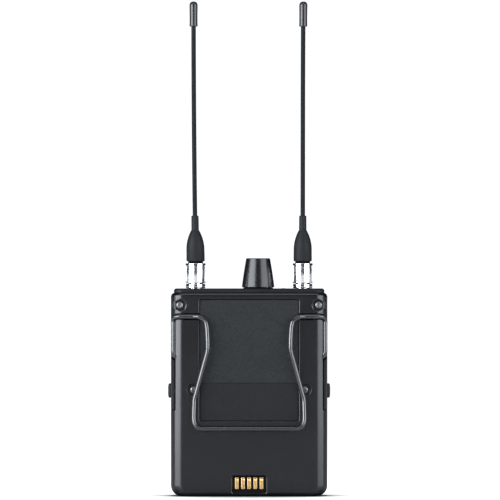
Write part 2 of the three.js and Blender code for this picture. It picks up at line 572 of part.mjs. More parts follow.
// ---- battery door ------------------------------------------------------------------------------------
function doorPanel() {
  const flangeX = halfWidth - FLANGE;
  const front = [SEAM_Y + SLIP, FRONT + 1];
  const side = join(block(ALL_X, front, [-1, OVER_DOOR]),
    block(ALL_X, [BACK - 1, FRONT], [EAR_LOW, OVER_DOOR]));
  const shell = cut(common(common(envelope, side), aboutHinge(DOOR_REACH, ALL_X, 144)),
    block([-flangeX, flangeX], [BACK - 1, FRONT - DOOR_SKIN], [-2, OVER_DOOR]));
  const toe = cut(block(ALL_X, [HINGE_Y, FRONT + 1], [-2, HINGE_Z]), aboutHinge(BARREL_RADIUS, ALL_X, 32));
  const barrelEnd = INNER_X - GAP;
  const armSlot = aboutHinge(BARREL_RADIUS + 0.1, [barrelEnd, flangeX + 0.01], 32);
  const latchHole = prismX(latchShape(SLIP), RIGHT_RECESS);
  return cut(
    join(cut(shell, toe, ...bothSides(armSlot)), aboutHinge(BARREL_RADIUS, [-barrelEnd, barrelEnd], 32)),
    ...bothSides(latchHole),
    ...bothSides(rodX(HINGE_Y, HINGE_Z, PIN_RADIUS + 0.2, [PIN_END - 0.4, BEYOND], 12)));
}

function latchShape(grow) {
  return panelShape([LATCH.y - LATCH.length / 2 - grow, LATCH.y + LATCH.length / 2 + grow],
    [LATCH.z - LATCH.height / 2 - grow, LATCH.z + LATCH.height / 2 + grow], 1.2);
}

const latchOut = halfWidth + LATCH.proud;
const latch = prismX(latchShape(0), [latchOut - LATCH.thick, latchOut], 0.5, 1);
const hingePin = rodX(HINGE_Y, HINGE_Z, PIN_RADIUS, [PIN_END, halfWidth - 0.4], 12);

add('door_panel', doorPanel(), housing);
add('latch_button_right', latch, plastic);
add('latch_button_left', mirrored(latch), plastic);
add('hinge_pin_right', hingePin, steel);
add('hinge_pin_left', mirrored(hingePin), steel);

export default object;
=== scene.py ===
import json
import math

import bmesh
import bpy
from mathutils import Matrix, Vector


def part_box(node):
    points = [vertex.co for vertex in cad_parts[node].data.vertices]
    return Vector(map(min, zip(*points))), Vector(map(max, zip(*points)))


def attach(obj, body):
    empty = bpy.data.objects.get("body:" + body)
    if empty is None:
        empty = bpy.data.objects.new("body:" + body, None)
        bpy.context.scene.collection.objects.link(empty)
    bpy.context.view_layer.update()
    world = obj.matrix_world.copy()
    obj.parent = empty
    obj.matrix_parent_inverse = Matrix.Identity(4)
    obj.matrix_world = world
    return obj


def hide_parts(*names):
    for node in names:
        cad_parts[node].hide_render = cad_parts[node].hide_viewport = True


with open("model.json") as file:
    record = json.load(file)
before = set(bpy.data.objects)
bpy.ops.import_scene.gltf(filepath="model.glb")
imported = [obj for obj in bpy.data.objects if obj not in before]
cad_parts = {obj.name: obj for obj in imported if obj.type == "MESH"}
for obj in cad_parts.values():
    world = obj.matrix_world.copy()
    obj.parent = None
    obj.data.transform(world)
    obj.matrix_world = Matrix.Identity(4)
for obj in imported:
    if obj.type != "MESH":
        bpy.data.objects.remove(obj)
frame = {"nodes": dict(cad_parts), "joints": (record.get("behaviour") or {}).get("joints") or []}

MM = 0.001
TAU = 2 * math.pi
SIDES = (("left", -1), ("right", 1))

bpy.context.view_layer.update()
scene = bpy.context.scene


# ---- sizes, in millimetres, from the frame --------------------------------------------------------
def span(node):
    """Lowest and highest corner of a CAD node."""
    low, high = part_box(node)
    return low / MM, high / MM


def pivot(joint):
    """Point on a joint's axis."""
    place = next(j["pos_m"] for j in frame["joints"] if j["name"] == joint)
    return Vector(place) / MM


SHELL_LOW, SHELL_HIGH = span("rear_shell")
PLATE_LOW, PLATE_HIGH = span("top_plate")
HALF = SHELL_HIGH.x                      # half the casing's width
BACK, FRONT = SHELL_LOW.y, span("front_bezel")[1].y
SHELL_TOP, BODY_TOP = SHELL_HIGH.z, PLATE_HIGH.z
HINGE = pivot("door_swing")
CLIP = pivot("clip_swing")
SEAM = 0.85                              # parting plane of the back shell and the front
SEAM_GAP = 0.15
SLIP = 0.15                              # clearance of a small piece in its hole
WALL = 1.6                               # front, top and bottom walls
BACK_WALL = 2.0
INNER_X = HALF - 3.35                    # inner faces of the side walls
CEILING = SHELL_TOP - WALL
BARREL = 2.4                             # radius of the door's hinge barrel
DOOR_REACH = 56.6                        # radius of the door's top edge about the hinge
OVER_DOOR = 70                           # any height above the door's top edge
FLANGE = 1.5                             # thickness of the door's side flanges
DOOR_SKIN = 1.4                          # thickness of the door's face
RECESS_X = 30.35                         # floor of the side recesses
EAR_LOW = 35.8                           # lower end of the ears that reach to the back edge
PIN_BORE = 1.0                           # radius of the hinge pins' holes
PANEL_FLOOR = BACK + 0.7                 # floor of the panel that holds the labels
KNOB_LOW, KNOB_HIGH = span("volume_knob")
KNOB_X = (KNOB_LOW.x + KNOB_HIGH.x) / 2
PHONE_X = sum(p.x for p in span("phone_jack_nut")) / 2
LED_X = sum(p.x for p in span("led_pipe_link")) / 2
LED_Y = sum(p.y for p in span("led_pipe_battery")) / 2
ANTENNA_X = sum(p.x for p in span("antenna_jack_nut_right")) / 2
SOCKET_HOLE, LIGHT_HOLE, KNOB_HOLE = 3.4, 1.35, 3.5           # radii of the holes in the roof
PHONE_HOLE, PHONE_NUT_HOLE = 3.2, 4.2
WIRE = 0.95                              # radius of the clip's wire
WIRE_GAP = 0.3                           # clearance of the clip's wire in its grooves
BOSS = 3.0                               # radius of the posts that the upper screws bite into
SCREW_SEAT = -10.0                       # depth of the faces under the screws' heads
SCREW_PLACES = [tuple((a + b) / 2 for a, b in zip(*span(f"rear_screw_{row}_{side}")))
                for row in ("upper", "lower") for side, _ in SIDES]


# ---- meshes ---------------------------------------------------------------------------------------
def lofted(rings, looped=False):
    """Skin over rings of points with as many points each; the ends are closed unless it is looped."""
    work = bmesh.new()
    rows = [[work.verts.new(point) for point in ring] for ring in rings]
    pairs = list(zip(rows, rows[1:])) + ([(rows[-1], rows[0])] if looped else [])
    for low, high in pairs:
        for i in range(len(low)):
            j = (i + 1) % len(low)
            work.faces.new((low[i], low[j], high[j], high[i]))
    if not looped:
        work.faces.new(list(reversed(rows[0])))
        work.faces.new(rows[-1])
    bmesh.ops.remove_doubles(work, verts=work.verts, dist=1e-4)
    bmesh.ops.dissolve_degenerate(work, edges=work.edges, dist=1e-4)
    bmesh.ops.recalc_face_normals(work, faces=work.faces)
    return as_mesh(work)


def as_mesh(work):
    mesh = bpy.data.meshes.new("shape")
    work.to_mesh(mesh)
    work.free()
    return mesh


def on_axis(axis, u, v, height):
    """A point of a plan (u, v) at a height along an axis."""
    return {"X": (height, u, v), "Y": (u, height, v), "Z": (u, v, height)}[axis]


def rounded(u, v, radii, steps):
    """Outline of a rectangle with a radius for each corner, from the low-low corner round."""
    corners = [(u[0], v[0], 1, 1), (u[1], v[0], -1, 1), (u[1], v[1], -1, -1), (u[0], v[1], 1, -1)]
    outline = []
    for number, ((x, y, to_x, to_y), radius) in enumerate(zip(corners, radii)):
        for step in range(steps + 1):
            angle = math.pi + (number + step / steps) * math.pi / 2
            outline.append((x + to_x * radius + radius * math.cos(angle),
                            y + to_y * radius + radius * math.sin(angle)))
    return outline


def pad(axis, u, v, radius, profile, steps=8):
    """Rounded slab. Its profile gives a height and how far each side is drawn in there."""
    radii = radius if isinstance(radius, tuple) else (radius,) * 4
    rings = []
    for height, *inset in profile:
        in_u, in_v = inset if len(inset) == 2 else inset * 2
        drawn = [max(r - min(in_u, in_v), 0.02) for r in radii]
        outline = rounded((u[0] + in_u, u[1] - in_u), (v[0] + in_v, v[1] - in_v), drawn, steps)
        rings.append([on_axis(axis, a, b, height) for a, b in outline])
    return lofted(rings)


def slab(axis, u, v, heights, radius=0.02, steps=6):
    return pad(axis, u, v, radius, [(heights[0], 0), (heights[1], 0)], steps)


def eased(low, high, ease, steps=4, start=True, end=True):
    """Profile of a slab whose ends are rounded over."""
    turn = [(ease * (1 - math.cos(math.pi / 2 * i / steps)), ease * (1 - math.sin(math.pi / 2 * i / steps)))
            for i in range(steps + 1)]
    head = [(low + rise, inset) for rise, inset in turn] if start else [(low, 0)]
    tail = [(high - rise, inset) for rise, inset in reversed(turn)] if end else [(high, 0)]
    return head + tail


def turned(profile, centre=(0, 0), axis="Z", sides=64, looped=False, shape=None):
    """Turned piece from (radius, height) pairs; shape can vary the radius round the axis."""
    rings = []
    for index, (radius, height) in enumerate(profile):
        ring = []
        for i in range(sides):
            angle = TAU * i / sides
            reach = max(radius, 0.001) * (shape(angle, index) if shape else 1)
            ring.append(on_axis(axis, centre[0] + reach * math.cos(angle),
                                centre[1] + reach * math.sin(angle), height))
        rings.append(ring)
    return lofted(rings, looped)


def rod(axis, centre, radius, heights, sides=48):
    return turned([(radius, heights[0]), (radius, heights[1])], centre, axis, sides)


def filleted(points, radius, steps=4):
    """A profile whose inner corners are rounded."""
    made = [points[0]]
    for before, corner, after in zip(points, points[1:], points[2:]):
        here = Vector(corner)
        back, ahead = Vector(before) - here, Vector(after) - here
        reach = min(radius, back.length * 0.45, ahead.length * 0.45)
        start, end = here + back.normalized() * reach, here + ahead.normalized() * reach
        for i in range(steps + 1):
            t = i / steps
            made.append(tuple(start * (1 - t) ** 2 + here * 2 * t * (1 - t) + end * t ** 2))
    return made + [points[-1]]


def host(mesh, name="work"):
    """A mesh on an object of its own, for modifiers."""
    made = bpy.data.objects.new(name, mesh)
    scene.collection.objects.link(made)
    return made


def applied(made, helpers=()):
    """The plain mesh that an object's modifiers give; the object and its helpers go."""
    bpy.context.view_layer.update()
    evaluated = made.evaluated_get(bpy.context.evaluated_depsgraph_get())
    mesh = bpy.data.meshes.new_from_object(evaluated, preserve_all_data_layers=True,
                                           depsgraph=bpy.context.evaluated_depsgraph_get())
    for done in (made, *helpers):
        bpy.data.objects.remove(done)
    return mesh


def combined(body, tools, operation):
    made = host(body)
    helpers = [host(tool) for tool in tools]
    for helper in helpers:
        step = made.modifiers.new("step", "BOOLEAN")
        step.operation = operation
        step.solver = "MANIFOLD"
        step.object = helper
    return applied(made, helpers)


def cut(body, *tools):
    return combined(body, tools, "DIFFERENCE")


def common(body, *tools):
    return combined(body, tools, "INTERSECT")


def joined(body, *tools):
    return combined(body, tools, "UNION")


def gathered(*meshes):
    """Separate shapes kept side by side in one mesh."""
    work = bmesh.new()
    for mesh in meshes:
        work.from_mesh(mesh)
    return as_mesh(work)


def moved(mesh, x=0.0, y=0.0, z=0.0):
    made = mesh.copy()
    made.transform(Matrix.Translation((x, y, z)))
    return made


def mirrored(mesh):
    """The shape on the other side, its faces still pointing out."""
    made = mesh.copy()
    made.transform(Matrix.Scale(-1, 4, (1, 0, 0)))
    made.flip_normals()
    return made


def both(mesh):
    return [mesh, mirrored(mesh)]


LEVEL_WEIGHT = 65                        # leans normals towards the larger faces


def broken_edges(mesh, width=0.16, segments=2, angle=38):
    """Takes the sharpness off a shape's edges and keeps its flat faces flat."""
    work = bmesh.new()
    work.from_mesh(mesh)
    bmesh.ops.remove_doubles(work, verts=work.verts, dist=0.01)
    bmesh.ops.dissolve_degenerate(work, edges=work.edges, dist=0.005)
    tidy = as_mesh(work)
    made = host(tidy)
    edge = made.modifiers.new("edge", "BEVEL")
    edge.width = width
    edge.segments = segments
    edge.limit_method = "ANGLE"
    edge.angle_limit = math.radians(angle)
    edge.use_clamp_overlap = False
    edge.miter_outer = "MITER_ARC"
    for face in tidy.polygons:
        face.use_smooth = True
    level = made.modifiers.new("level", "WEIGHTED_NORMAL")
    level.weight = LEVEL_WEIGHT
    return applied(made)


# ---- node trees -----------------------------------------------------------------------------------
def add_node(tree, kind, inputs=None, **settings):
    """Adds a node; an input takes a plain value or another node's output socket."""
    made = tree.nodes.new(kind)
    for name, value in settings.items():
        setattr(made, name, value)
    for key, value in (inputs or {}).items():
        socket = made.inputs[key]
        if isinstance(value, bpy.types.NodeSocket):
            tree.links.new(value, socket)
        else:
            socket.default_value = value
    return made


def growth_tree(name, **inputs):
    """A Geometry Nodes tree with named inputs, and its input node."""
    tree = bpy.data.node_groups.new(name, "GeometryNodeTree")
    for label, kind in inputs.items():
        tree.interface.new_socket(label, in_out="INPUT", socket_type="NodeSocket" + kind)
    tree.interface.new_socket("Geometry", in_out="OUTPUT", socket_type="NodeSocketGeometry")
    return tree, tree.nodes.new("NodeGroupInput").outputs


def close_tree(tree, geometry, finish):
    """Ends a tree in real geometry that carries its finish."""
    real = add_node(tree, "GeometryNodeRealizeInstances", {"Geometry": geometry})
    shown = add_node(tree, "GeometryNodeSetMaterial",
                     {"Geometry": real.outputs["Geometry"], "Material": finish})
    end = tree.nodes.new("NodeGroupOutput")
    tree.links.new(shown.outputs["Geometry"], end.inputs["Geometry"])
    return tree


def grown(tree, start=None, helpers=(), **values):
    """The plain mesh that a tree makes with these inputs."""
    made = host(start or bpy.data.meshes.new("start"))
    step = made.modifiers.new(tree.name, "NODES")
    step.node_group = tree
    for socket in tree.interface.items_tree:
        if socket.in_out == "INPUT" and socket.name in values:
            step[socket.identifier] = values[socket.name]
    return applied(made, helpers)


def ring_tree():
    """Copies of one rib round the Z axis."""
    tree, given = growth_tree("ring_of_ribs", Rib="Object", Count="Int", Finish="Material")
    points = add_node(tree, "GeometryNodeMeshCircle", {"Vertices": given["Count"], "Radius": 0.001})
    rib = add_node(tree, "GeometryNodeObjectInfo", {"Object": given["Rib"]})
    index = tree.nodes.new("GeometryNodeInputIndex")
    part = add_node(tree, "ShaderNodeMath", {0: index.outputs["Index"], 1: given["Count"]},
                    operation="DIVIDE")
    angle = add_node(tree, "ShaderNodeMath", {0: part.outputs[0], 1: TAU}, operation="MULTIPLY")
    turn = add_node(tree, "ShaderNodeCombineXYZ", {"Z": angle.outputs[0]})
    copies = add_node(tree, "GeometryNodeInstanceOnPoints",
                      {"Points": points.outputs["Mesh"], "Instance": rib.outputs["Geometry"],
                       "Rotation": turn.outputs["Vector"]})
    return close_tree(tree, copies.outputs["Instances"], given["Finish"])


def row_tree():
    """Copies of one piece in a straight row."""
    tree, given = growth_tree("row_of_pieces", Piece="Object", Count="Int", First="Vector",
                              Pitch="Vector", Finish="Material")
    points = add_node(tree, "GeometryNodeMeshLine",
                      {"Count": given["Count"], "Start Location": given["First"],
                       "Offset": given["Pitch"]})
    piece = add_node(tree, "GeometryNodeObjectInfo", {"Object": given["Piece"]})
    copies = add_node(tree, "GeometryNodeInstanceOnPoints",
                      {"Points": points.outputs["Mesh"], "Instance": piece.outputs["Geometry"]})
    return close_tree(tree, copies.outputs["Instances"], given["Finish"])


def place_tree():
    """One copy of a piece at each point of the start mesh."""
    tree, given = growth_tree("piece_at_each_place", Geometry="Geometry", Piece="Object",
                              Finish="Material")
    piece = add_node(tree, "GeometryNodeObjectInfo", {"Object": given["Piece"]})
    copies = add_node(tree, "GeometryNodeInstanceOnPoints",
                      {"Points": given["Geometry"], "Instance": piece.outputs["Geometry"]})
    return close_tree(tree, copies.outputs["Instances"], given["Finish"])


def wire_tree():
    """Round wire along the start mesh's line of points."""
    tree, given = growth_tree("bent_wire", Geometry="Geometry", Radius="Float", Steps="Int",
                              Sides="Int", Finish="Material")
    line = add_node(tree, "GeometryNodeMeshToCurve", {"Mesh": given["Geometry"]})
    smooth = add_node(tree, "GeometryNodeCurveSplineType", {"Curve": line.outputs["Curve"]},
                      spline_type="CATMULL_ROM")
    even = add_node(tree, "GeometryNodeResampleCurve",
                    {"Curve": smooth.outputs["Curve"], "Count": given["Steps"]})
    section = add_node(tree, "GeometryNodeCurvePrimitiveCircle",
                       {"Resolution": given["Sides"], "Radius": given["Radius"]})
    skin = add_node(tree, "GeometryNodeCurveToMesh",
                    {"Curve": even.outputs["Curve"], "Profile Curve": section.outputs["Curve"],
                     "Fill Caps": True})
    return close_tree(tree, skin.outputs["Mesh"], given["Finish"])


def coil_tree():
    """A coil about the Z axis: a spring, or a thread's ridge with a four-sided section."""
    tree, given = growth_tree("coil", Radius="Float", EndRadius="Float", Height="Float", Turns="Float",
                              Steps="Int", Section="Float", Sides="Int", Start="Vector",
                              Finish="Material")
    path = add_node(tree, "GeometryNodeCurveSpiral",
                    {"Resolution": given["Steps"], "Rotations": given["Turns"],
                     "Start Radius": given["Radius"], "End Radius": given["EndRadius"],
                     "Height": given["Height"]})
    section = add_node(tree, "GeometryNodeCurvePrimitiveCircle",
                       {"Resolution": given["Sides"], "Radius": given["Section"]})
    skin = add_node(tree, "GeometryNodeCurveToMesh",
                    {"Curve": path.outputs["Curve"], "Profile Curve": section.outputs["Curve"],
                     "Fill Caps": True})
    placed = add_node(tree, "GeometryNodeTransform",
                      {"Geometry": skin.outputs["Mesh"], "Translation": given["Start"]})
    return close_tree(tree, placed.outputs["Geometry"], given["Finish"])


RING, ROW, EACH, WIRE_TREE, COIL = ring_tree(), row_tree(), place_tree(), wire_tree(), coil_tree()


def ring_of(rib, count, finish):
    helper = host(rib)
    return grown(RING, helpers=[helper], Rib=helper, Count=count, Finish=finish)


def row_of(shape, count, first, pitch, finish):
    helper = host(shape)
    return grown(ROW, helpers=[helper], Piece=helper, Count=count, First=first, Pitch=pitch,
                 Finish=finish)


def at_places(shape, places, finish):
    helper = host(shape)
    start = bpy.data.meshes.new("places")
    start.from_pydata(places, [], [])
    return grown(EACH, start, [helper], Piece=helper, Finish=finish)


def wire(route, radius, steps, finish, sides=24):
    start = bpy.data.meshes.new("route")
    start.from_pydata(route, [(i, i + 1) for i in range(len(route) - 1)], [])
    return grown(WIRE_TREE, start, Radius=radius, Steps=steps, Sides=sides, Finish=finish)


# ---- finishes -------------------------------------------------------------------------------------
def tinted(colour, factor):
    return tuple(min(1.0, c * factor) for c in colour) + (1.0,)


def finish(name, colour, roughness, metallic=0.0, grain=0.3, depth=0.004, mottle=0.12, patch=6.0,
           drift=0.08, stretch=(1, 1, 1), specular=0.5, coat=0.0, coat_roughness=0.1):
    """A finish with fine relief, slow changes of tone and an uneven gloss. Grain, depth and patch
    are in millimetres; stretch draws the pattern out along an axis, as brushing does."""
    made = bpy.data.materials.new(name)
    made.use_nodes = True
    tree = made.node_tree
    shader = tree.nodes["Principled BSDF"]
    place = add_node(tree, "ShaderNodeTexCoord")
    drawn = add_node(tree, "ShaderNodeMapping",
                     {"Vector": place.outputs["Object"], "Scale": stretch})
    fine = add_node(tree, "ShaderNodeTexNoise",
                    {"Vector": drawn.outputs["Vector"], "Scale": 1 / (grain * MM), "Detail": 3.0})
    broad = add_node(tree, "ShaderNodeTexNoise",
                     {"Vector": place.outputs["Object"], "Scale": 1 / (patch * MM), "Detail": 2.0})
    blend = add_node(tree, "ShaderNodeMath", {0: fine.outputs["Fac"], 1: broad.outputs["Fac"]},
                     operation="ADD")
    half = add_node(tree, "ShaderNodeMath", {0: blend.outputs[0], 1: 0.5}, operation="MULTIPLY")
    tone = add_node(tree, "ShaderNodeValToRGB", {"Fac": half.outputs[0]})
    tone.color_ramp.elements[0].position = 0.36
    tone.color_ramp.elements[0].color = tinted(colour, 1 - mottle)
    tone.color_ramp.elements[1].position = 0.64
    tone.color_ramp.elements[1].color = tinted(colour, 1 + mottle)
    gloss = add_node(tree, "ShaderNodeMapRange",
                     {"Value": half.outputs[0], "From Min": 0.35, "From Max": 0.65,
                      "To Min": max(0.02, roughness - drift), "To Max": min(1, roughness + drift)})
    relief = add_node(tree, "ShaderNodeBump",
                      {"Height": fine.outputs["Fac"], "Distance": depth * MM, "Strength": 1.0})
    tree.links.new(tone.outputs["Color"], shader.inputs["Base Color"])
    tree.links.new(gloss.outputs["Result"], shader.inputs["Roughness"])
    tree.links.new(relief.outputs["Normal"], shader.inputs["Normal"])
    shader.inputs["Metallic"].default_value = metallic
    shader.inputs["Specular IOR Level"].default_value = specular
    shader.inputs["Coat Weight"].default_value = coat
    shader.inputs["Coat Roughness"].default_value = coat_roughness
    return made


def label_finish(name, colour):
    """Matt film with a close random speckle of darker and paler grains."""
    made = finish(name, colour, 0.6, grain=0.6, depth=0.02, mottle=0.2, patch=9, specular=0.22)
    tree = made.node_tree
    shader = tree.nodes["Principled BSDF"]
    tone = shader.inputs["Base Color"].links[0].from_socket
    place = add_node(tree, "ShaderNodeTexCoord")
    cells = add_node(tree, "ShaderNodeTexVoronoi",
                     {"Vector": place.outputs["Object"], "Scale": 1 / (0.55 * MM)})
    speck = add_node(tree, "ShaderNodeMapRange",
                     {"Value": cells.outputs["Color"], "From Min": 0.0, "From Max": 1.0,
                      "To Min": 0.6, "To Max": 1.4})
    grains = add_node(tree, "ShaderNodeVectorMath", {0: tone}, operation="SCALE")
    tree.links.new(speck.outputs["Result"], grains.inputs["Scale"])
    tree.links.new(grains.outputs["Vector"], shader.inputs["Base Color"])
    return made


CELL_MIDDLE = 31.2                       # height of the cells' middles
BAND_START = 10                          # from there to the coppery band


def cell_finish(name):
    """Printed sleeve of a battery: a dark body with a coppery band round its upper end."""
    made = finish(name, (0.03, 0.034, 0.042), 0.28, 0.6, grain=0.8, depth=0.002, mottle=0.06)
    tree = made.node_tree
    shader = tree.nodes["Principled BSDF"]
    tone = shader.inputs["Base Color"].links[0].from_socket
    place = add_node(tree, "ShaderNodeTexCoord")
    axes = add_node(tree, "ShaderNodeSeparateXYZ", {"Vector": place.outputs["Object"]})
    side = add_node(tree, "ShaderNodeMath", {0: axes.outputs["X"], 1: 0.0}, operation="GREATER_THAN")
    sign = add_node(tree, "ShaderNodeMapRange", {"Value": side.outputs[0], "To Min": 1.0, "To Max": -1.0})
    middle = add_node(tree, "ShaderNodeMath", {0: axes.outputs["Z"], 1: CELL_MIDDLE * MM},
                      operation="SUBTRACT")
    along = add_node(tree, "ShaderNodeMath", {0: middle.outputs[0], 1: sign.outputs["Result"]},
                     operation="MULTIPLY")
    band = add_node(tree, "ShaderNodeMath", {0: along.outputs[0], 1: BAND_START * MM},
                    operation="GREATER_THAN")
    mixed = add_node(tree, "ShaderNodeMix", {0: band.outputs[0], 6: tone, 7: (0.55, 0.28, 0.12, 1)},
                     data_type="RGBA")
    tree.links.new(mixed.outputs[2], shader.inputs["Base Color"])
    return made


def clear_finish(name, colour, roughness, transmission):
    made = finish(name, colour, roughness, grain=1.2, depth=0.0005, mottle=0.03, drift=0.01)
    made.node_tree.nodes["Principled BSDF"].inputs["Transmission Weight"].default_value = transmission
    return made


PAINT = finish("housing_paint", (0.0026, 0.0031, 0.0039), 0.24, grain=0.28, depth=0.004, mottle=0.1,
               patch=14, drift=0.035)
TRIM = finish("trim_plastic", (0.0024, 0.0027, 0.0033), 0.4, grain=0.22, depth=0.008, patch=8,
              specular=0.4)
ROOF = finish("roof_plastic", (0.0024, 0.0027, 0.0033), 0.5, grain=0.22, depth=0.008, patch=8,
              specular=0.22)
SATIN = finish("knob_plastic", (0.0024, 0.0027, 0.0031), 0.27, grain=0.35, depth=0.002, mottle=0.08,
               drift=0.04, specular=0.46)
FELT = finish("felt_ring", (0.003, 0.003, 0.0034), 0.85, grain=0.12, depth=0.02, specular=0.1)
LABEL = label_finish("label_film", (0.0077, 0.0093, 0.0102))
LABEL_PLAIN = label_finish("label_film_lower", (0.004, 0.0045, 0.0053))
GOLD = finish("gold_contact", (0.66, 0.43, 0.18), 0.38, 1.0, grain=0.5, depth=0.002, mottle=0.08,
              patch=1.5)
BOARD = finish("circuit_board", (0.02, 0.09, 0.045), 0.42, grain=0.9, depth=0.01, mottle=0.3, patch=3)
STEEL = finish("steel", (0.46, 0.46, 0.47), 0.3, 1.0, grain=0.5, depth=0.002, mottle=0.08, patch=2)
SCREW_STEEL = finish("screw_steel", (0.17, 0.175, 0.18), 0.34, 1.0, grain=0.4, depth=0.003, mottle=0.15,
                     patch=1)
CHROME = finish("chrome_plate", (0.74, 0.75, 0.77), 0.1, 1.0, grain=0.8, depth=0.0003, mottle=0.03,
                drift=0.02)
WIRE_COAT = finish("clip_wire", (0.0065, 0.0071, 0.008), 0.22, 0.0, grain=0.4, depth=0.002, mottle=0.1,
                   patch=5, specular=0.95)
RUBBER = finish("antenna_rubber", (0.0056, 0.0062, 0.007), 0.6, grain=0.18, depth=0.006, mottle=0.12,
                patch=4, specular=0.2)
SLEEVE = finish("antenna_sleeve", (0.0032, 0.003, 0.003), 0.55, grain=0.3, depth=0.004, mottle=0.14,
                patch=7, stretch=(1, 1, 0.2), specular=0.14)
CAP = finish("antenna_cap", (0.006, 0.006, 0.0068), 0.25, grain=0.5, depth=0.001)
WINDOW = finish("window_gloss", (0.005, 0.0055, 0.007), 0.05, grain=2, depth=0.0004, mottle=0.05,
                drift=0.02, coat=0.6, coat_roughness=0.03)
LENS = clear_finish("led_lens", (0.5, 0.62, 0.54), 0.18, 0.6)
CELL = cell_finish("cell_case")
MARK = finish("pointer_mark", (0.62, 0.63, 0.62), 0.5, grain=0.3, depth=0.003)


# ---- putting a piece in the frame -----------------------------------------------------------------
def piece(name, mesh, material, body, slot, *nodes, crease=35, keep_normals=False):
    """Finished piece: in metres, with its finish, on its body, standing for its CAD nodes."""
    mesh.transform(Matrix.Scale(MM, 4))
    mesh.materials.clear()
    mesh.materials.append(material)
    for face in mesh.polygons:
        face.material_index = 0
    if not keep_normals:
        mesh.shade_smooth()
        mesh.set_sharp_from_angle(angle=math.radians(crease))
    mesh.name = name
    made = host(mesh, name)
    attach(made, body)
    if nodes:
        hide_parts(*nodes)
    return made


# ---- casing ---------------------------------------------------------------------------------------
FOOT_CORNER = 4.5                        # corners seen from the back
HEAD_CORNER = 1.9
RIM = 1.6                                # rounding of the back and front faces' edges
PLAN_CORNERS = (5.0, 5.0, 4.0, 4.0)
PLATE_CORNER = 3.8
BEYOND = 40                              # past the casing's sides, for cutting tools
ALL_X = (-BEYOND, BEYOND)
RIGHT_OUT = (RECESS_X, BEYOND)


def drawn_in(radius, depth):
    """How far a rounded edge has come in at a depth below the face it runs into."""
    return radius - math.sqrt(radius ** 2 - (radius - depth) ** 2) if depth < radius else 0.0


def envelope():
    """Outside of the whole casing: one smooth skin, round at its four long edges and its ends."""
    steps = 16
    foot = [FOOT_CORNER * (1 - math.cos(math.pi / 2 * i / steps)) for i in range(steps + 1)]
    head = [HEAD_CORNER * (1 - math.cos(math.pi / 2 * i / steps)) for i in range(steps + 1)]
    levels = [(rise, drawn_in(FOOT_CORNER, rise), drawn_in(RIM, rise)) for rise in foot]
    levels += [(SHELL_TOP - fall, drawn_in(HEAD_CORNER, fall), drawn_in(RIM, fall))
               for fall in reversed(head)]
    return pad("Z", (-HALF, HALF), (BACK, FRONT), PLAN_CORNERS, levels, steps=14)


def about_hinge(radius, x, sides=360):
    return rod("X", (HINGE.y, HINGE.z), radius, x, sides)


def roof_holes(phone_radius):
    z = (CEILING - 1, BODY_TOP + 1)
    holes = [rod("Z", (sign * ANTENNA_X, 0), SOCKET_HOLE, z) for _, sign in SIDES]
    holes += [rod("Z", (LED_X, sign * LED_Y), LIGHT_HOLE, z, 32) for _, sign in SIDES]
    return holes + [rod("Z", (KNOB_X, 0), KNOB_HOLE, z), rod("Z", (PHONE_X, 0), phone_radius, z)]


CLIP_SPLIT = 25.85                       # where the turning bar meets the fixed leg
HAIRLINE = 0.04                          # room between the two there
LEG_X, LEG_Y = 31.3, -8.9                # middle of the clip's legs along the sides
LEG_ROUTE = [(CLIP_SPLIT + HAIRLINE, -11.2, 74), (27.4, -11.2, 74), (29.3, -10.9, 74), (30.7, -9.9, 73.6),
             (LEG_X, LEG_Y, 72.3), (LEG_X, LEG_Y, 70), (LEG_X, LEG_Y, 62), (LEG_X, LEG_Y, 59.6),
             (31, LEG_Y, 58.5), (30.3, LEG_Y, 57.6), (29.6, LEG_Y, 57)]
SCREW_BORE = 2.25
SCREW_FLARE = 2.75                       # radius of the bore's mouth
PANEL_HALF = 20.55                       # half the width of the labels' panel
PANEL_Z = (30.8, 81.3)
CHEEK_FRONT = 9.2                        # front edge of the cheeks beside the battery bay
EAR_RECESS = (35.5, 60)                  # heights of the recesses for the door's ears
LEG_RECESS = (55, 73.4)                  # heights of the recesses for the clip's legs


def screw_seat(x, z):
    """Bore with a flared mouth."""
    return turned([(SCREW_BORE, SCREW_SEAT + 0.15), (SCREW_BORE, BACK + 0.42), (SCREW_FLARE, BACK),
                   (SCREW_FLARE + 1, BACK - 1)], (x, z), "Y", 64)


def label_panel():
    """Shallow panel for the labels; its walls stand up a little and then lean out to the face."""
    return pad("Y", (-PANEL_HALF, PANEL_HALF), PANEL_Z, 1.0,
               [(PANEL_FLOOR, 0.3), (BACK + 0.5, 0.3), (BACK, -0.18), (BACK - 0.5, -0.66)])


def contact_opening():
    """Opening for the block of charging contacts, with a flared mouth."""
    return pad("Y", (-6.85, 6.85), (1.35, 8.35), 0.7,
               [(BACK + BACK_WALL + 0.1, 0), (BACK + 0.45, 0), (BACK, -0.4), (BACK - 0.5, -0.85)])


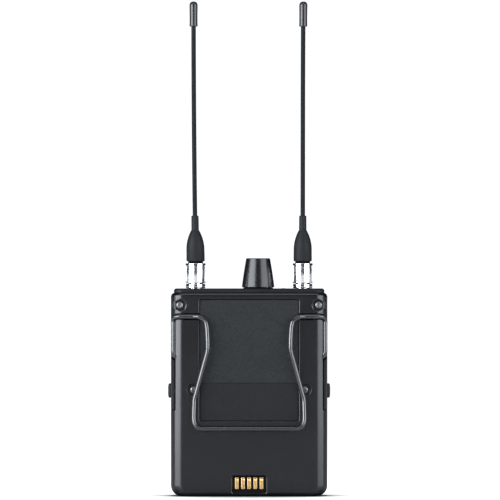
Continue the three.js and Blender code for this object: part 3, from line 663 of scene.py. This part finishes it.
def rear_shell():
    tub = cut(common(envelope(), slab("Z", ALL_X, (BACK - 1, SEAM - SEAM_GAP), (-1, SHELL_TOP + 1))),
              slab("Z", (-INNER_X, INNER_X), (BACK + BACK_WALL, FRONT + 5), (WALL, CEILING), 1.0))
    cheek_x = (INNER_X - 0.5, RECESS_X)
    cheek_shape = joined(slab("X", (0, CHEEK_FRONT), (-1, EAR_RECESS[1]), cheek_x),
                         about_hinge(BARREL - 0.2, cheek_x, 48))
    cheek = common(cheek_shape, about_hinge(DOOR_REACH, (INNER_X - 1, RECESS_X + 1)), envelope())
    floor = common(slab("Z", (-INNER_X, INNER_X), (0, 7), (-1, WALL)), envelope())
    x, _, z = SCREW_PLACES[1]
    boss = rod("Y", (x, z), BOSS, (BACK + BACK_WALL - 0.5, SEAM - SEAM_GAP))
    body = joined(tub, floor, *both(cheek), *both(boss))

    ear_recess = common(about_hinge(DOOR_REACH + 0.3, RIGHT_OUT),
                        slab("X", (BACK - 1, FRONT), EAR_RECESS, (RECESS_X - 1, BEYOND + 1)))
    leg_recess = slab("X", (BACK - 1, LEG_Y + WIRE + 0.4), LEG_RECESS, RIGHT_OUT, 0.5)
    bar = WIRE + WIRE_GAP
    bar_groove = turned([(0.3, 18.2), (bar, 19), (bar, 27)], (CLIP.y, CLIP.z), "X", 32)
    bar_flare = turned([(0.5, 18.4), (bar + 0.3, 19.4), (bar + 0.3, 27)], (CLIP.y - 0.45, CLIP.z), "X", 32)
    leg_groove = wire(LEG_ROUTE, WIRE + WIRE_GAP, 60, None)
    foot_notch = slab("Y", (29.1, 30), (1.5, 2.4), (BACK - 1, BACK + 3), 0.3)
    pin_hole = about_hinge(PIN_BORE, (INNER_X - 1, BEYOND), 32)
    handed = (ear_recess, leg_recess, bar_groove, bar_flare, leg_groove, foot_notch, pin_hole)
    body = cut(body, about_hinge(BARREL + 0.35, (-INNER_X, INNER_X), 64), label_panel(),
               contact_opening(), *[screw_seat(x, z) for x, _, z in SCREW_PLACES], *roof_holes(PHONE_HOLE),
               *[tool for shape in handed for tool in both(shape)])
    return broken_edges(body)


BUTTONS = ("up", "enter", "down")
SHOULDER = 0.7                           # how far a menu button's shoulder reaches behind the face


def window_hole(node, grow, y, radius=1.0):
    low, high = span(node)
    return slab("Y", (low.x - grow, high.x + grow), (low.z - grow, high.z + grow), y, radius)


def front_bezel():
    body = cut(common(envelope(), slab("Z", ALL_X, (SEAM + SEAM_GAP, FRONT + 1), (50, SHELL_TOP + 1))),
               about_hinge(DOOR_REACH + 0.4, ALL_X),
               slab("Z", (-INNER_X, INNER_X), (0, FRONT - WALL), (61, CEILING), 1.0))
    inner = FRONT - WALL - 1
    low, high = span("display_window")
    rim = 1.5                            # ledge that the window rests on
    view_hole = slab("Y", (low.x + rim, high.x - rim), (low.z + rim, high.z - rim), (inner, FRONT))
    holes = [window_hole("ir_window", SLIP, (inner, FRONT + 1), 1.1)]
    holes += [window_hole(f"menu_button_{place}", SLIP - SHOULDER, (inner, FRONT + 1), 1.1)
              for place in BUTTONS]
    return broken_edges(cut(body, window_hole("display_window", SLIP, (FRONT - 0.95, FRONT + 1)),
                            view_hole, *holes, *roof_holes(PHONE_HOLE)))


def battery_door():
    flange_x = HALF - FLANGE
    side = joined(slab("Z", ALL_X, (SEAM + SEAM_GAP, FRONT + 1), (-1, OVER_DOOR)),
                  slab("Z", ALL_X, (BACK - 1, FRONT), (EAR_LOW, OVER_DOOR)))
    shell = cut(common(envelope(), side, about_hinge(DOOR_REACH, ALL_X)),
                slab("Z", (-flange_x, flange_x), (BACK - 1, FRONT - DOOR_SKIN), (-2, OVER_DOOR)))
    toe = cut(slab("Z", ALL_X, (HINGE.y, FRONT + 1), (-2, HINGE.z)), about_hinge(BARREL, ALL_X, 64))
    barrel_end = INNER_X - 0.3
    arm_slot = about_hinge(BARREL + 0.1, (barrel_end, flange_x + 0.01), 64)
    body = joined(cut(shell, toe, *both(arm_slot)), about_hinge(BARREL, (-barrel_end, barrel_end), 64))
    low, high = span("latch_button_right")
    latch_hole = slab("X", (low.y - SLIP, high.y + SLIP), (low.z - SLIP, high.z + SLIP), RIGHT_OUT, 1.3)
    pin_hole = about_hinge(PIN_BORE, (span("hinge_pin_right")[0].x - 0.4, BEYOND), 32)
    return broken_edges(cut(body, *both(latch_hole), *both(pin_hole)))


def top_plate():
    body = pad("Z", (PLATE_LOW.x, PLATE_HIGH.x), (PLATE_LOW.y, PLATE_HIGH.y), PLATE_CORNER,
               eased(SHELL_TOP + 0.02, BODY_TOP, 0.9, 6, start=False), steps=14)
    return cut(body, *roof_holes(PHONE_NUT_HOLE))


piece("casing_back", rear_shell(), PAINT, "housing", "housing_paint", "rear_shell", keep_normals=True)
piece("casing_front", front_bezel(), PAINT, "housing", "housing_paint", "front_bezel", keep_normals=True)
piece("casing_roof", top_plate(), ROOF, "housing", "trim_plastic", "top_plate", crease=32)
piece("door_shell", battery_door(), PAINT, "battery_door", "housing_paint", "door_panel",
      keep_normals=True)


# ---- screws: round heads with a six-lobed recess -----------------------------------------------------
def screw_head():
    """Head about the Y axis at the origin, its dome towards -Y and its seat at y = 0."""
    lobes = 6
    recess = range(7, 11)                # the points of the profile inside the recess

    def star(angle, index):
        return 1 + (0.17 * math.cos(lobes * angle) if index in recess else 0)
    profile = [(1.2, 0.0), (1.42, 0.0), (1.5, -0.06), (1.5, -0.3), (1.43, -0.46), (1.24, -0.66),
               (1.05, -0.76), (0.86, -0.81), (0.8, -0.77), (0.72, -0.3), (0.66, -0.24), (0.3, -0.22)]
    return turned(profile, (0, 0), "Y", 96, shape=star)


def screws():
    places = [(x, SCREW_SEAT, z) for x, _, z in SCREW_PLACES]
    return at_places(screw_head(), places, SCREW_STEEL)


piece("casing_screws", screws(), SCREW_STEEL, "housing", "steel", *[f"rear_screw_{row}_{side}"
      for row in ("upper", "lower") for side, _ in SIDES], crease=50)


# ---- labels ---------------------------------------------------------------------------------------
LABEL_TRIM = 0.28                        # how far a label stays clear of the panel's walls


def label(node, trim):
    """Film on the panel's floor; trim says how much is off its lower and upper edges."""
    low, high = span(node)
    return pad("Y", (low.x + LABEL_TRIM, high.x - LABEL_TRIM), (low.z + trim[0], high.z - trim[1]), 0.6,
               [(PANEL_FLOOR - 0.2, 0.03), (PANEL_FLOOR - 0.17, 0), (PANEL_FLOOR - 0.02, 0)])


piece("upper_label", label("label_upper", (0, LABEL_TRIM)), LABEL, "housing", "label_film", "label_upper")
piece("lower_label", label("label_lower", (LABEL_TRIM, 0)), LABEL_PLAIN, "housing", "label_film",
      "label_lower")


# ---- charging contacts ------------------------------------------------------------------------------
CONTACTS = [f"charge_contact_{number}" for number in range(1, 6)]


def contact_strip():
    """Gold leaf with rounded edges and a pressed dimple near its upper end."""
    low, high = span(CONTACTS[2])
    leaf = pad("Y", (low.x, high.x), (low.z + 0.25, high.z - 0.1), 0.35,
               eased(low.y, high.y, 0.22, 5, end=False))
    ball = turned([(0.75 * math.sin(math.pi * i / 12), -0.75 * math.cos(math.pi * i / 12))
                   for i in range(13)], sides=24)
    return cut(leaf, moved(ball, 0, low.y - 0.52, high.z - 0.95))


def contacts():
    first, last = (sum(p.x for p in span(node)) / 2 for node in (CONTACTS[0], CONTACTS[-1]))
    count = len(CONTACTS)
    return row_of(contact_strip(), count, (first, 0, 0), ((last - first) / (count - 1), 0, 0), GOLD)


def contact_block():
    low, high = span("charge_contact_block")
    body = pad("Y", (low.x, high.x), (low.z, high.z), 0.6, eased(low.y - 0.1, high.y, 0.15, 3, end=False))
    slots = []
    for node in CONTACTS:
        a, b = span(node)
        slots.append(slab("Y", (a.x - SLIP, b.x + SLIP), (a.z - SLIP, b.z + SLIP),
                          (BACK, b.y + 0.1), 0.45))
    return broken_edges(cut(body, *slots), 0.06, 1)


piece("contact_leaves", contacts(), GOLD, "housing", "gold_contact", *CONTACTS)
piece("contact_carrier", contact_block(), FELT, "housing", "trim_plastic", "charge_contact_block",
      keep_normals=True)


# ---- belt clip --------------------------------------------------------------------------------------
LOOP_HALF = [(CLIP_SPLIT - HAIRLINE, -11.2, 74), (22.9, -11.2, 74), (20.9, -11.95, 73.9),
             (18.5, -12.3, 72.6),
             (17.5, -12.6, 70.3), (17.1, -13.1, 65.5), (17, -13.4, 62), (17.05, -13.4, 60.4),
             (17.5, -13.35, 58.2), (18.9, -12.9, 53.1), (21, -12.4, 45.4), (21.9, -12.25, 42.1),
             (22.4, -12.27, 40.2), (22.6, -12.4, 38), (22.75, -13.1, 33), (22.5, -13.6, 30.4),
             (21.5, -13.9, 28.6), (19.7, -14.05, 27.8), (16, -14.05, 27.8)]
LOOP_ROUTE = [(-x, y, z) for x, y, z in LOOP_HALF] + LOOP_HALF[::-1]

piece("clip_wire_loop", wire(LOOP_ROUTE, WIRE, 420, WIRE_COAT, 32), WIRE_COAT, "belt_clip", "clip_wire",
      "clip_loop", crease=60)
LEG = wire(LEG_ROUTE, WIRE, 70, WIRE_COAT, 32)
piece("clip_wire_leg_right", LEG.copy(), WIRE_COAT, "housing", "clip_wire", "clip_leg_right", crease=60)
piece("clip_wire_leg_left", mirrored(LEG), WIRE_COAT, "housing", "clip_wire", "clip_leg_left", crease=60)


# ---- front: display, infrared window, menu buttons, latches -----------------------------------------
def front_window(node):
    low, high = span(node)
    return pad("Y", (low.x, high.x), (low.z, high.z), 0.9, eased(low.y, high.y, 0.16, 4, start=False))


def menu_button(node):
    """Cap with rounded edges on a wider shoulder behind the face."""
    low, high = span(node)
    neck = FRONT - WALL - 0.3
    face = [(height, SHOULDER + inset) for height, inset in eased(neck, high.y, 0.35, 5, start=False)]
    return pad("Y", (low.x, high.x), (low.z, high.z), 1.7, [(low.y, 0), (neck, 0)] + face)


piece("display_glass", front_window("display_window"), WINDOW, "housing", "window_gloss",
      "display_window", crease=50)
piece("infrared_glass", front_window("ir_window"), WINDOW, "housing", "window_gloss", "ir_window",
      crease=50)
for place in BUTTONS:
    piece(f"button_cap_{place}", menu_button(f"menu_button_{place}"), TRIM, f"button_{place}",
          "trim_plastic", f"menu_button_{place}")


def latch_button():
    """Squeeze button with upright grip ridges on its outer face."""
    low, high = span("latch_button_right")
    body = pad("X", (low.y, high.y), (low.z, high.z), 1.2,
               eased(low.x, high.x - 0.15, 0.35, 4, start=False))
    ridge = pad("X", (-0.22, 0.22), (low.z + 0.9, high.z - 0.9), 0.2,
                [(high.x - 0.6, 0), (high.x - 0.12, 0), (high.x, 0.12)], 3)
    count, pitch = 9, 1.0
    middle = (low.y + high.y) / 2
    ridges = row_of(ridge, count, (0, middle - pitch * (count - 1) / 2, 0), (0, pitch, 0), TRIM)
    return gathered(body, ridges)


LATCH_SHAPE = latch_button()
piece("latch_right_cap", LATCH_SHAPE.copy(), TRIM, "latch_right", "trim_plastic", "latch_button_right")
piece("latch_left_cap", mirrored(LATCH_SHAPE), TRIM, "latch_left", "trim_plastic", "latch_button_left")


def hinge_pin():
    low, high = span("hinge_pin_right")
    return turned([(0.6, low.x), (0.8, low.x + 0.2), (0.8, high.x - 0.2), (0.6, high.x)],
                  (HINGE.y, HINGE.z), "X", 32)


PIN = hinge_pin()
piece("door_pin_right", PIN.copy(), STEEL, "housing", "steel", "hinge_pin_right")
piece("door_pin_left", mirrored(PIN), STEEL, "housing", "steel", "hinge_pin_left")


# ---- roof: lights, headphone socket, volume knob ----------------------------------------------------
def light_pipe(node):
    """Clear rod with a low dome."""
    low, high = span(node)
    radius, rise, steps = (high.x - low.x) / 2, 0.3, 6
    turns = [math.pi / 2 * i / steps for i in range(1, steps + 1)]
    dome = [(radius * math.cos(turn), high.z - rise + rise * math.sin(turn)) for turn in turns]
    return turned([(radius, low.z), (radius, high.z - rise)] + dome, (LED_X, (low.y + high.y) / 2), "Z", 32)


for node in ("led_pipe_link", "led_pipe_battery"):
    piece(node.replace("led_pipe", "light"), light_pipe(node), LENS, "housing", "led_lens", node)


def socket_body():
    low, high = span("phone_jack")
    block = pad("Z", (low.x, high.x), (low.y, high.y), 0.4, [(low.z, 0), (82.1, 0)])
    barrel = turned([(2.9, 81), (2.9, high.z - 0.2), (2.7, high.z)], (PHONE_X, 0), "Z", 48)
    bore = turned([(1.85, 70.5), (1.85, high.z - 0.25), (2.25, high.z + 0.15)], (PHONE_X, 0), "Z", 48)
    return broken_edges(cut(joined(block, barrel), bore), 0.06, 1)


def socket_nut():
    """Thin ring nut with notches for a pin wrench."""
    low, high = span("phone_jack_nut")
    outer, bore = (high.x - low.x) / 2, 3.05
    ring = turned(filleted([(bore, low.z), (outer, low.z), (outer, high.z), (bore, high.z)], 0.25),
                  (0, 0), "Z", 96, looped=True)
    notch = slab("Z", (outer - 0.5, outer + 1), (-0.6, 0.6), (low.z - 1, high.z + 1), 0.2)
    notches = [notch.copy() for _ in range(4)]
    for number, tool in enumerate(notches):
        tool.transform(Matrix.Rotation(math.pi / 4 + number * math.pi / 2, 4, "Z"))
    return moved(cut(ring, *notches), PHONE_X)


piece("phone_socket", socket_body(), TRIM, "housing", "trim_plastic", "phone_jack", keep_normals=True)
piece("phone_socket_nut", socket_nut(), STEEL, "housing", "steel", "phone_jack_nut")


def knob():
    """Tapered knob with a slightly swelling side, hollow underneath, with a dished top."""
    low, high = KNOB_LOW.z, KNOB_HIGH.z
    foot, top, steps = (KNOB_HIGH.x - KNOB_LOW.x) / 2, 4.9, 12
    side = []
    for i in range(steps + 1):
        t = i / steps
        side.append((foot - 0.05 + (top - foot + 0.05) * t + 0.09 * math.sin(math.pi * t),
                     low + 0.8 + (high - low - 0.8) * t))
    outside = filleted([(foot - 0.5, low), (foot, low)] + side + [(top - 0.9, high),
                       (top - 1.3, high - 0.25), (0.5, high - 0.35)], 0.26, 6)
    inside = [(0.5, low + 2.9), (5.3, low + 2.9), (5.3, low)]
    return turned(outside + inside, (KNOB_X, 0), "Z", 128, looped=True)


def pointer():
    """Painted line set in the knob's top, from near its middle to its edge."""
    top = KNOB_HIGH.z - 0.31
    return pad("Z", (KNOB_X - 0.3, KNOB_X + 0.3), (-3.2, -1.2), 0.28, [(top - 0.3, 0), (top, 0)], 5)


def knob_washer():
    """Felt ring that closes the gap under the knob."""
    inner, outer = 4.75, 6.1
    low, high = BODY_TOP + 0.02, KNOB_LOW.z - 0.04
    return turned(filleted([(inner, low), (outer, low), (outer, high), (inner, high)], 0.1),
                  (KNOB_X, 0), "Z", 96, looped=True)


piece("knob_washer", knob_washer(), FELT, "housing", "trim_plastic")
piece("knob_shell", knob(), SATIN, "volume_control", "knob_plastic", "volume_knob", crease=40)
piece("knob_pointer", pointer(), MARK, "volume_control", "knob_plastic")


# ---- antennas ---------------------------------------------------------------------------------------
THREAD_PITCH = 0.7056
WHIP_FOOT = 96.75                        # underside of the rubber boot
WHIP_TOP = span("antenna_tip_left")[1].z


def lean(side, z):
    """How far the soft whip has drifted sideways at a height, in millimetres."""
    t = max(0.0, (z - WHIP_FOOT) / (WHIP_TOP - WHIP_FOOT))
    if side == "left":
        return -0.85 * (1 - (1 - t) ** 2)
    return 0.3 * t ** 2 - 0.7 * t * (1 - t) * t + 0.08 * math.sin(math.pi * t)


def leaning(mesh, side, sign):
    """Puts a shape made about the Z axis on its antenna, bent as the whip is."""
    for vertex in mesh.vertices:
        vertex.co.x += sign * ANTENNA_X + lean(side, vertex.co.z)
    return mesh


def ring_nut():
    """Round nut with broken edges, which holds the socket in the roof."""
    low, high = span("antenna_jack_nut_left")
    outer, bore = (high.x - low.x) / 2, 3.25
    return turned(filleted([(bore, low.z), (outer, low.z), (outer, high.z), (bore, high.z)], 0.35),
                  (0, 0), "Z", 96, looped=True)


def antenna_jack():
    """Threaded barrel with a contact pin, rising from the square body under the roof."""
    low = span("antenna_jack_left")[0].z
    bore = 2.35
    barrel = turned([(2.86, 81.5), (2.86, 93.3), (2.6, 93.6), (bore, 93.6), (bore, 88.5), (0.65, 88.5),
                     (0.65, 92.1), (0.35, 92.5)], sides=64)
    block = pad("Z", (-3.2, 3.2), (-3.8, 3.8), 0.3, [(low, 0), (82.1, 0)])
    ridge = grown(COIL, Radius=2.86, EndRadius=2.86, Height=7.4 * THREAD_PITCH, Turns=7.4, Steps=48,
                  Section=0.3, Sides=4, Start=(0.0, 0.0, 87.7), Finish=CHROME)
    return gathered(barrel, block, ridge)


def coupling_nut():
    """Sleeve with a plain lip at each end and a fine straight knurl between them."""
    low, high = (p.z for p in span("coupling_nut_left"))
    outer = 4.12
    bore, mouth, lip = 3.35, 2.7, high - 1.3
    body = turned(filleted([(bore, low), (outer, low), (outer, high), (mouth, high), (mouth, lip),
                            (bore, lip)], 0.28), (0, 0), "Z", 96, looped=True)
    depth = 0.035                        # how far the knurl's ribs stand up
    rib = pad("Z", (outer - 0.3, outer + depth), (-0.19, 0.19), 0.02,
              [(low + 0.55, 0.12), (low + 0.8, 0), (high - 0.8, 0), (high - 0.55, 0.12)], 1)
    for vertex in rib.vertices:
        if vertex.co.x > outer:
            vertex.co.y *= 0.85
    return gathered(body, ring_of(rib, 60, CHROME))


def ferrule():
    """Metal collar between the nut and the boot, with its contact tube below."""
    return turned(filleted([(0.85, 92.9), (0.85, 89.5), (2.1, 89.5), (2.1, 93.8), (3.1, 93.8), (3.1, 94.4),
                            (2.5, 94.4), (2.5, 95.98), (3.1, 95.98), (3.1, WHIP_FOOT + 0.3),
                            (0.3, WHIP_FOOT + 0.3)], 0.08, 2), sides=64)


def boot():
    """Rubber boot: a slightly tapered foot, an ogive shoulder and a slim collar round the whip."""
    low, high = (p.z for p in span("antenna_boot_left"))
    foot, neck = low + 4.9, low + 12.8
    steps = 22
    collar, broad = 1.56, 3.74
    shoulder = [(collar + (broad - collar) * math.cos(math.pi / 2 * i / steps) ** 0.8,
                 foot + (neck - foot) * i / steps) for i in range(steps + 1)]
    profile = [(3.0, low), (3.6, low), (3.75, low + 0.16), (3.78, low + 0.5)] + shoulder
    profile += [(1.54, neck + 0.6), (1.5, high - 0.35), (1.4, high - 0.08), (1.2, high), (0.94, high)]
    return turned(profile, sides=64)


def whip():
    low, high = span("antenna_whip_left")
    radius, steps = (high.x - low.x) / 2, 60
    return turned([(radius, low.z + (high.z - low.z) * i / steps) for i in range(steps + 1)], sides=32)


def tip_cap():
    """Moulded cap with a flat lower rim, a faint waist and a domed end."""
    low, high = (p.z for p in span("antenna_tip_left"))
    profile = [(0.95, low), (1.5, low), (1.66, low + 0.12), (1.7, low + 0.4), (1.64, low + 1.2),
               (1.62, low + 4), (1.66, low + 6.5), (1.7, high - 2.1)]
    turns = [math.pi / 2 * i / 10 for i in range(10)]
    profile += [(1.7 * math.cos(turn) ** 0.8, high - 1.6 + 1.6 * math.sin(turn)) for turn in turns]
    return turned(profile + [(0.05, high)], sides=48)


for side, sign in SIDES:
    at = sign * ANTENNA_X
    whole = f"antenna_{side}"
    piece(f"socket_{side}", moved(antenna_jack(), at), CHROME, "housing", "chrome_plate",
          f"antenna_jack_{side}", crease=30)
    piece(f"socket_nut_{side}", moved(ring_nut(), at), CHROME, "housing",
          "chrome_plate", f"antenna_jack_nut_{side}", crease=25)
    piece(f"knurled_nut_{side}", moved(coupling_nut(), at), CHROME, f"antenna_nut_{side}",
          "chrome_plate", f"coupling_nut_{side}", crease=30)
    piece(f"collar_{side}", moved(ferrule(), at), FELT, whole, "trim_plastic", f"antenna_ferrule_{side}")
    piece(f"boot_{side}", leaning(boot(), side, sign), RUBBER, whole, "antenna_rubber",
          f"antenna_boot_{side}", crease=45)
    piece(f"whip_{side}", leaning(whip(), side, sign), SLEEVE, whole, "antenna_sleeve",
          f"antenna_whip_{side}", crease=50)
    piece(f"whip_cap_{side}", leaning(tip_cap(), side, sign), CAP, whole, "antenna_cap",
          f"antenna_tip_{side}", crease=50)


# ---- battery bay ------------------------------------------------------------------------------------
def tray():
    low, high = span("battery_tray")
    sheet_back, sheet = -6.3, -5.2       # the tray's back sheet
    bay, wall, front = 16.2, 1.0, CHEEK_FRONT
    body = slab("Y", (low.x, high.x), (low.z, high.z), (sheet_back, sheet), 0.5)
    side_wall = slab("X", (sheet_back, front), (low.z, high.z), (bay, bay + wall), 0.4)
    ends = [slab("Z", (-bay - wall, bay + wall), (sheet_back, front), z)
            for z in ((low.z, low.z + wall), (high.z - wall, high.z))]
    rest = slab("Y", (-0.6, 0.6), (low.z + 0.5, high.z - 0.5), (sheet_back + 0.2, -3.4), 0.3)
    x, _, z = SCREW_PLACES[3]
    post = rod("Y", (x, z), 2.5, (BACK + BACK_WALL + 0.1, sheet))
    made = joined(body, *both(side_wall), *ends, rest, *both(post))
    return broken_edges(cut(made, about_hinge(BARREL + 0.35, ALL_X, 64)), 0.14)


def battery(node, nub_up):
    """Cell with rolled shoulders, a paler end ring and a pressed nub."""
    low, high = span(node)
    length, radius = high.z - low.z, (high.x - low.x) / 2
    nub = 1.2
    nub_radius, shoulder = 2.75, length - nub
    profile = filleted([(radius - 0.6, 0), (radius, 0), (radius, shoulder), (radius - 1.1, shoulder),
                        (radius - 1.3, shoulder - 0.3), (nub_radius, shoulder - 0.3),
                        (nub_radius, length), (0.2, length)], 0.5, 5)
    made = turned(profile, sides=96)
    if not nub_up:
        made.transform(Matrix.Rotation(math.pi, 4, "X"))
    return moved(made, (low.x + high.x) / 2, (low.y + high.y) / 2, low.z if nub_up else high.z)


def spring(node, from_floor):
    low, high = span(node)
    made = grown(COIL, Radius=4.6, EndRadius=2.6, Height=high.z - low.z - 0.66, Turns=2.5, Steps=48,
                 Section=0.33, Sides=12, Start=(0.0, 0.0, 0.33), Finish=STEEL)
    if not from_floor:
        made.transform(Matrix.Rotation(math.pi, 4, "X"))
    cell_low, cell_high = span(node.replace("contact_spring", "battery_cell"))
    return moved(made, (cell_low.x + cell_high.x) / 2, (cell_low.y + cell_high.y) / 2,
                 low.z if from_floor else high.z)


def contact_plate(node):
    low, high = span(node)
    return pad("Z", (low.x, high.x), (low.y, high.y), 0.8,
               [(low.z, 0.08), (low.z + 0.06, 0), (high.z - 0.06, 0), (high.z, 0.08)])


piece("cell_tray", tray(), TRIM, "housing", "trim_plastic", "battery_tray", keep_normals=True)
for side, upright in (("left", True), ("right", False)):
    piece(f"cell_{side}", battery(f"battery_cell_{side}", upright), CELL, "housing", "cell_case",
          f"battery_cell_{side}")
    piece(f"cell_spring_{side}", spring(f"contact_spring_{side}", upright), STEEL, "housing", "steel",
          f"contact_spring_{side}", crease=60)
    piece(f"cell_plate_{side}", contact_plate(f"contact_plate_{side}"), STEEL, "housing", "steel",
          f"contact_plate_{side}")

# ---- CAD nodes that stay, with a finish of their own -------------------------------------------------
for node, material in (("main_board", BOARD), ("shield_can", STEEL), ("display_module", TRIM),
                       ("pot_body", STEEL), ("pot_nut", STEEL), ("pot_shaft", STEEL)):
    mesh = frame["nodes"][node].data
    mesh.materials.clear()
    mesh.materials.append(material)


# ---- studio -----------------------------------------------------------------------------------------
AIM = (0, 0, 0.08)                       # what the softboxes face, in metres
SOFTBOX = (0.87, 0.85)                   # width and height of the two side softboxes
COOL = (0.94, 0.985, 1.06, 1)            # tint of the studio's light
FLOOR_GLOW = 0.78                        # what the table shows of its own light
BACKDROP = 1.1                           # brightness seen past the table
CONTACT_REACH = 0.045                    # how far the painted shadow round the base spreads, in metres


def floor():
    """Pale table, lit up for the view alone, so that it is white to the horizon and its glow doesn't wash
    out the casing. Close round the base, a shadow painted from an ambient occlusion node darkens its colour
    and its glow."""
    size = 12.0
    mesh = bpy.data.meshes.new("floor")
    mesh.from_pydata([(-size, -size, 0), (size, -size, 0), (size, size, 0), (-size, size, 0)], [],
                     [(0, 1, 2, 3)])
    mesh.transform(Matrix.Translation((0, 0, -0.00003)))
    made = host(mesh, "studio_floor")
    white = finish("studio_floor", (0.55, 0.55, 0.55), 0.8, grain=40, depth=0.0, mottle=0.004,
                   patch=400, specular=0.1)
    tree = white.node_tree
    shader = tree.nodes["Principled BSDF"]
    seen = add_node(tree, "ShaderNodeLightPath")
    # Painted shadow: ambient occlusion darkens the floor's colour and glow close round the base.
    painted_shadow_occlusion = add_node(tree, "ShaderNodeAmbientOcclusion", {"Distance": CONTACT_REACH}, samples=16)
    shade = add_node(tree, "ShaderNodeMapRange",
                     {"Value": painted_shadow_occlusion.outputs["AO"], "From Min": 0.48, "From Max": 0.93, "To Min": 0.05})
    shown = add_node(tree, "ShaderNodeMath", {0: shade.outputs["Result"], 1: FLOOR_GLOW},
                     operation="MULTIPLY")
    glow = add_node(tree, "ShaderNodeMath", {0: seen.outputs["Is Camera Ray"], 1: shown.outputs[0]},
                    operation="MULTIPLY")
    tone = shader.inputs["Base Color"].links[0].from_socket
    painted_shadow_tone = add_node(tree, "ShaderNodeVectorMath", {0: tone}, operation="SCALE")
    tree.links.new(shade.outputs["Result"], painted_shadow_tone.inputs["Scale"])
    tree.links.new(painted_shadow_tone.outputs["Vector"], shader.inputs["Base Color"])
    tree.links.new(glow.outputs[0], shader.inputs["Emission Strength"])
    shader.inputs["Emission Color"].default_value = (1, 1, 1, 1)
    mesh.materials.append(white)


def softbox(name, place, target, size, power):
    data = bpy.data.lights.new(name, "AREA")
    data.shape = "RECTANGLE"
    data.size, data.size_y = size
    data.energy = power
    data.color = COOL[:3]
    made = bpy.data.objects.new(name, data)
    made.location = place
    aim = Vector(target) - Vector(place)
    made.rotation_euler = aim.to_track_quat("-Z", "Y").to_euler()
    made.visible_camera = False
    scene.collection.objects.link(made)


def overhead():
    """Even soft light straight down, which leaves a faint shadow round the base."""
    data = bpy.data.lights.new("overhead", "SUN")
    data.energy = 2.0
    data.angle = math.radians(90)
    made = bpy.data.objects.new("overhead", data)
    made.visible_glossy = False
    scene.collection.objects.link(made)


def surroundings():
    """Room round the table: dim on the side that the back of the pack faces, darkest beside and a
    little behind it, and white beyond. Each stop is a place from -Y to +Y and a brightness."""
    stops = ((0.0, 0.1), (0.03, 0.11), (0.08, 0.2), (0.4, 0.14), (0.52, 0.02), (0.88, 0.02), (0.95, 0.16))
    world = bpy.data.worlds.new("studio")
    world.use_nodes = True
    scene.world = world
    tree = world.node_tree
    shade = tree.nodes["Background"]
    place = add_node(tree, "ShaderNodeTexCoord")
    axes = add_node(tree, "ShaderNodeSeparateXYZ", {"Vector": place.outputs["Generated"]})
    along = add_node(tree, "ShaderNodeMapRange",
                     {"Value": axes.outputs["Y"], "From Min": -1.0, "From Max": 1.0})
    tone = add_node(tree, "ShaderNodeValToRGB", {"Fac": along.outputs["Result"]})
    ramp = tone.color_ramp.elements
    while len(ramp) < len(stops):
        ramp.new(0.5)
    for element, (position, grey) in zip(ramp, stops):
        element.position = position
        element.color = (grey, grey, grey, 1)
    seen = add_node(tree, "ShaderNodeLightPath")
    white = add_node(tree, "ShaderNodeMath", {0: seen.outputs["Is Camera Ray"], 1: BACKDROP},
                     operation="MULTIPLY")
    level = add_node(tree, "ShaderNodeMath", {0: tone.outputs["Color"], 1: white.outputs[0]},
                     operation="MAXIMUM")
    tree.links.new(level.outputs[0], shade.inputs["Strength"])
    shade.inputs["Color"].default_value = COOL


LEVEL_Y = -0.004                         # depth that the camera is set for


def camera():
    """Level view of the back, square on, centred a little above the casing."""
    distance = 3.0
    sensor = 36.0
    across = 0.20615                      # width of the view where the clip's legs lie
    data = bpy.data.cameras.new("camera")
    data.sensor_width = sensor
    data.lens = sensor * distance / across
    data.clip_start, data.clip_end = 0.05, 50
    made = bpy.data.objects.new("camera", data)
    made.location = (0.00035, LEVEL_Y - distance, 0.1014)
    made.rotation_euler = (math.pi / 2, 0, 0)
    scene.collection.objects.link(made)
    scene.camera = made


floor()
surroundings()
softbox("left_box", (-0.67, -0.52, 0.14), AIM, SOFTBOX, 22)
softbox("right_box", (0.67, -0.52, 0.14), AIM, SOFTBOX, 12)
softbox("top_box", (0, -0.35, 0.85), AIM, (0.9, 0.6), 3)
overhead()
camera()
scene.view_settings.view_transform = "Standard"
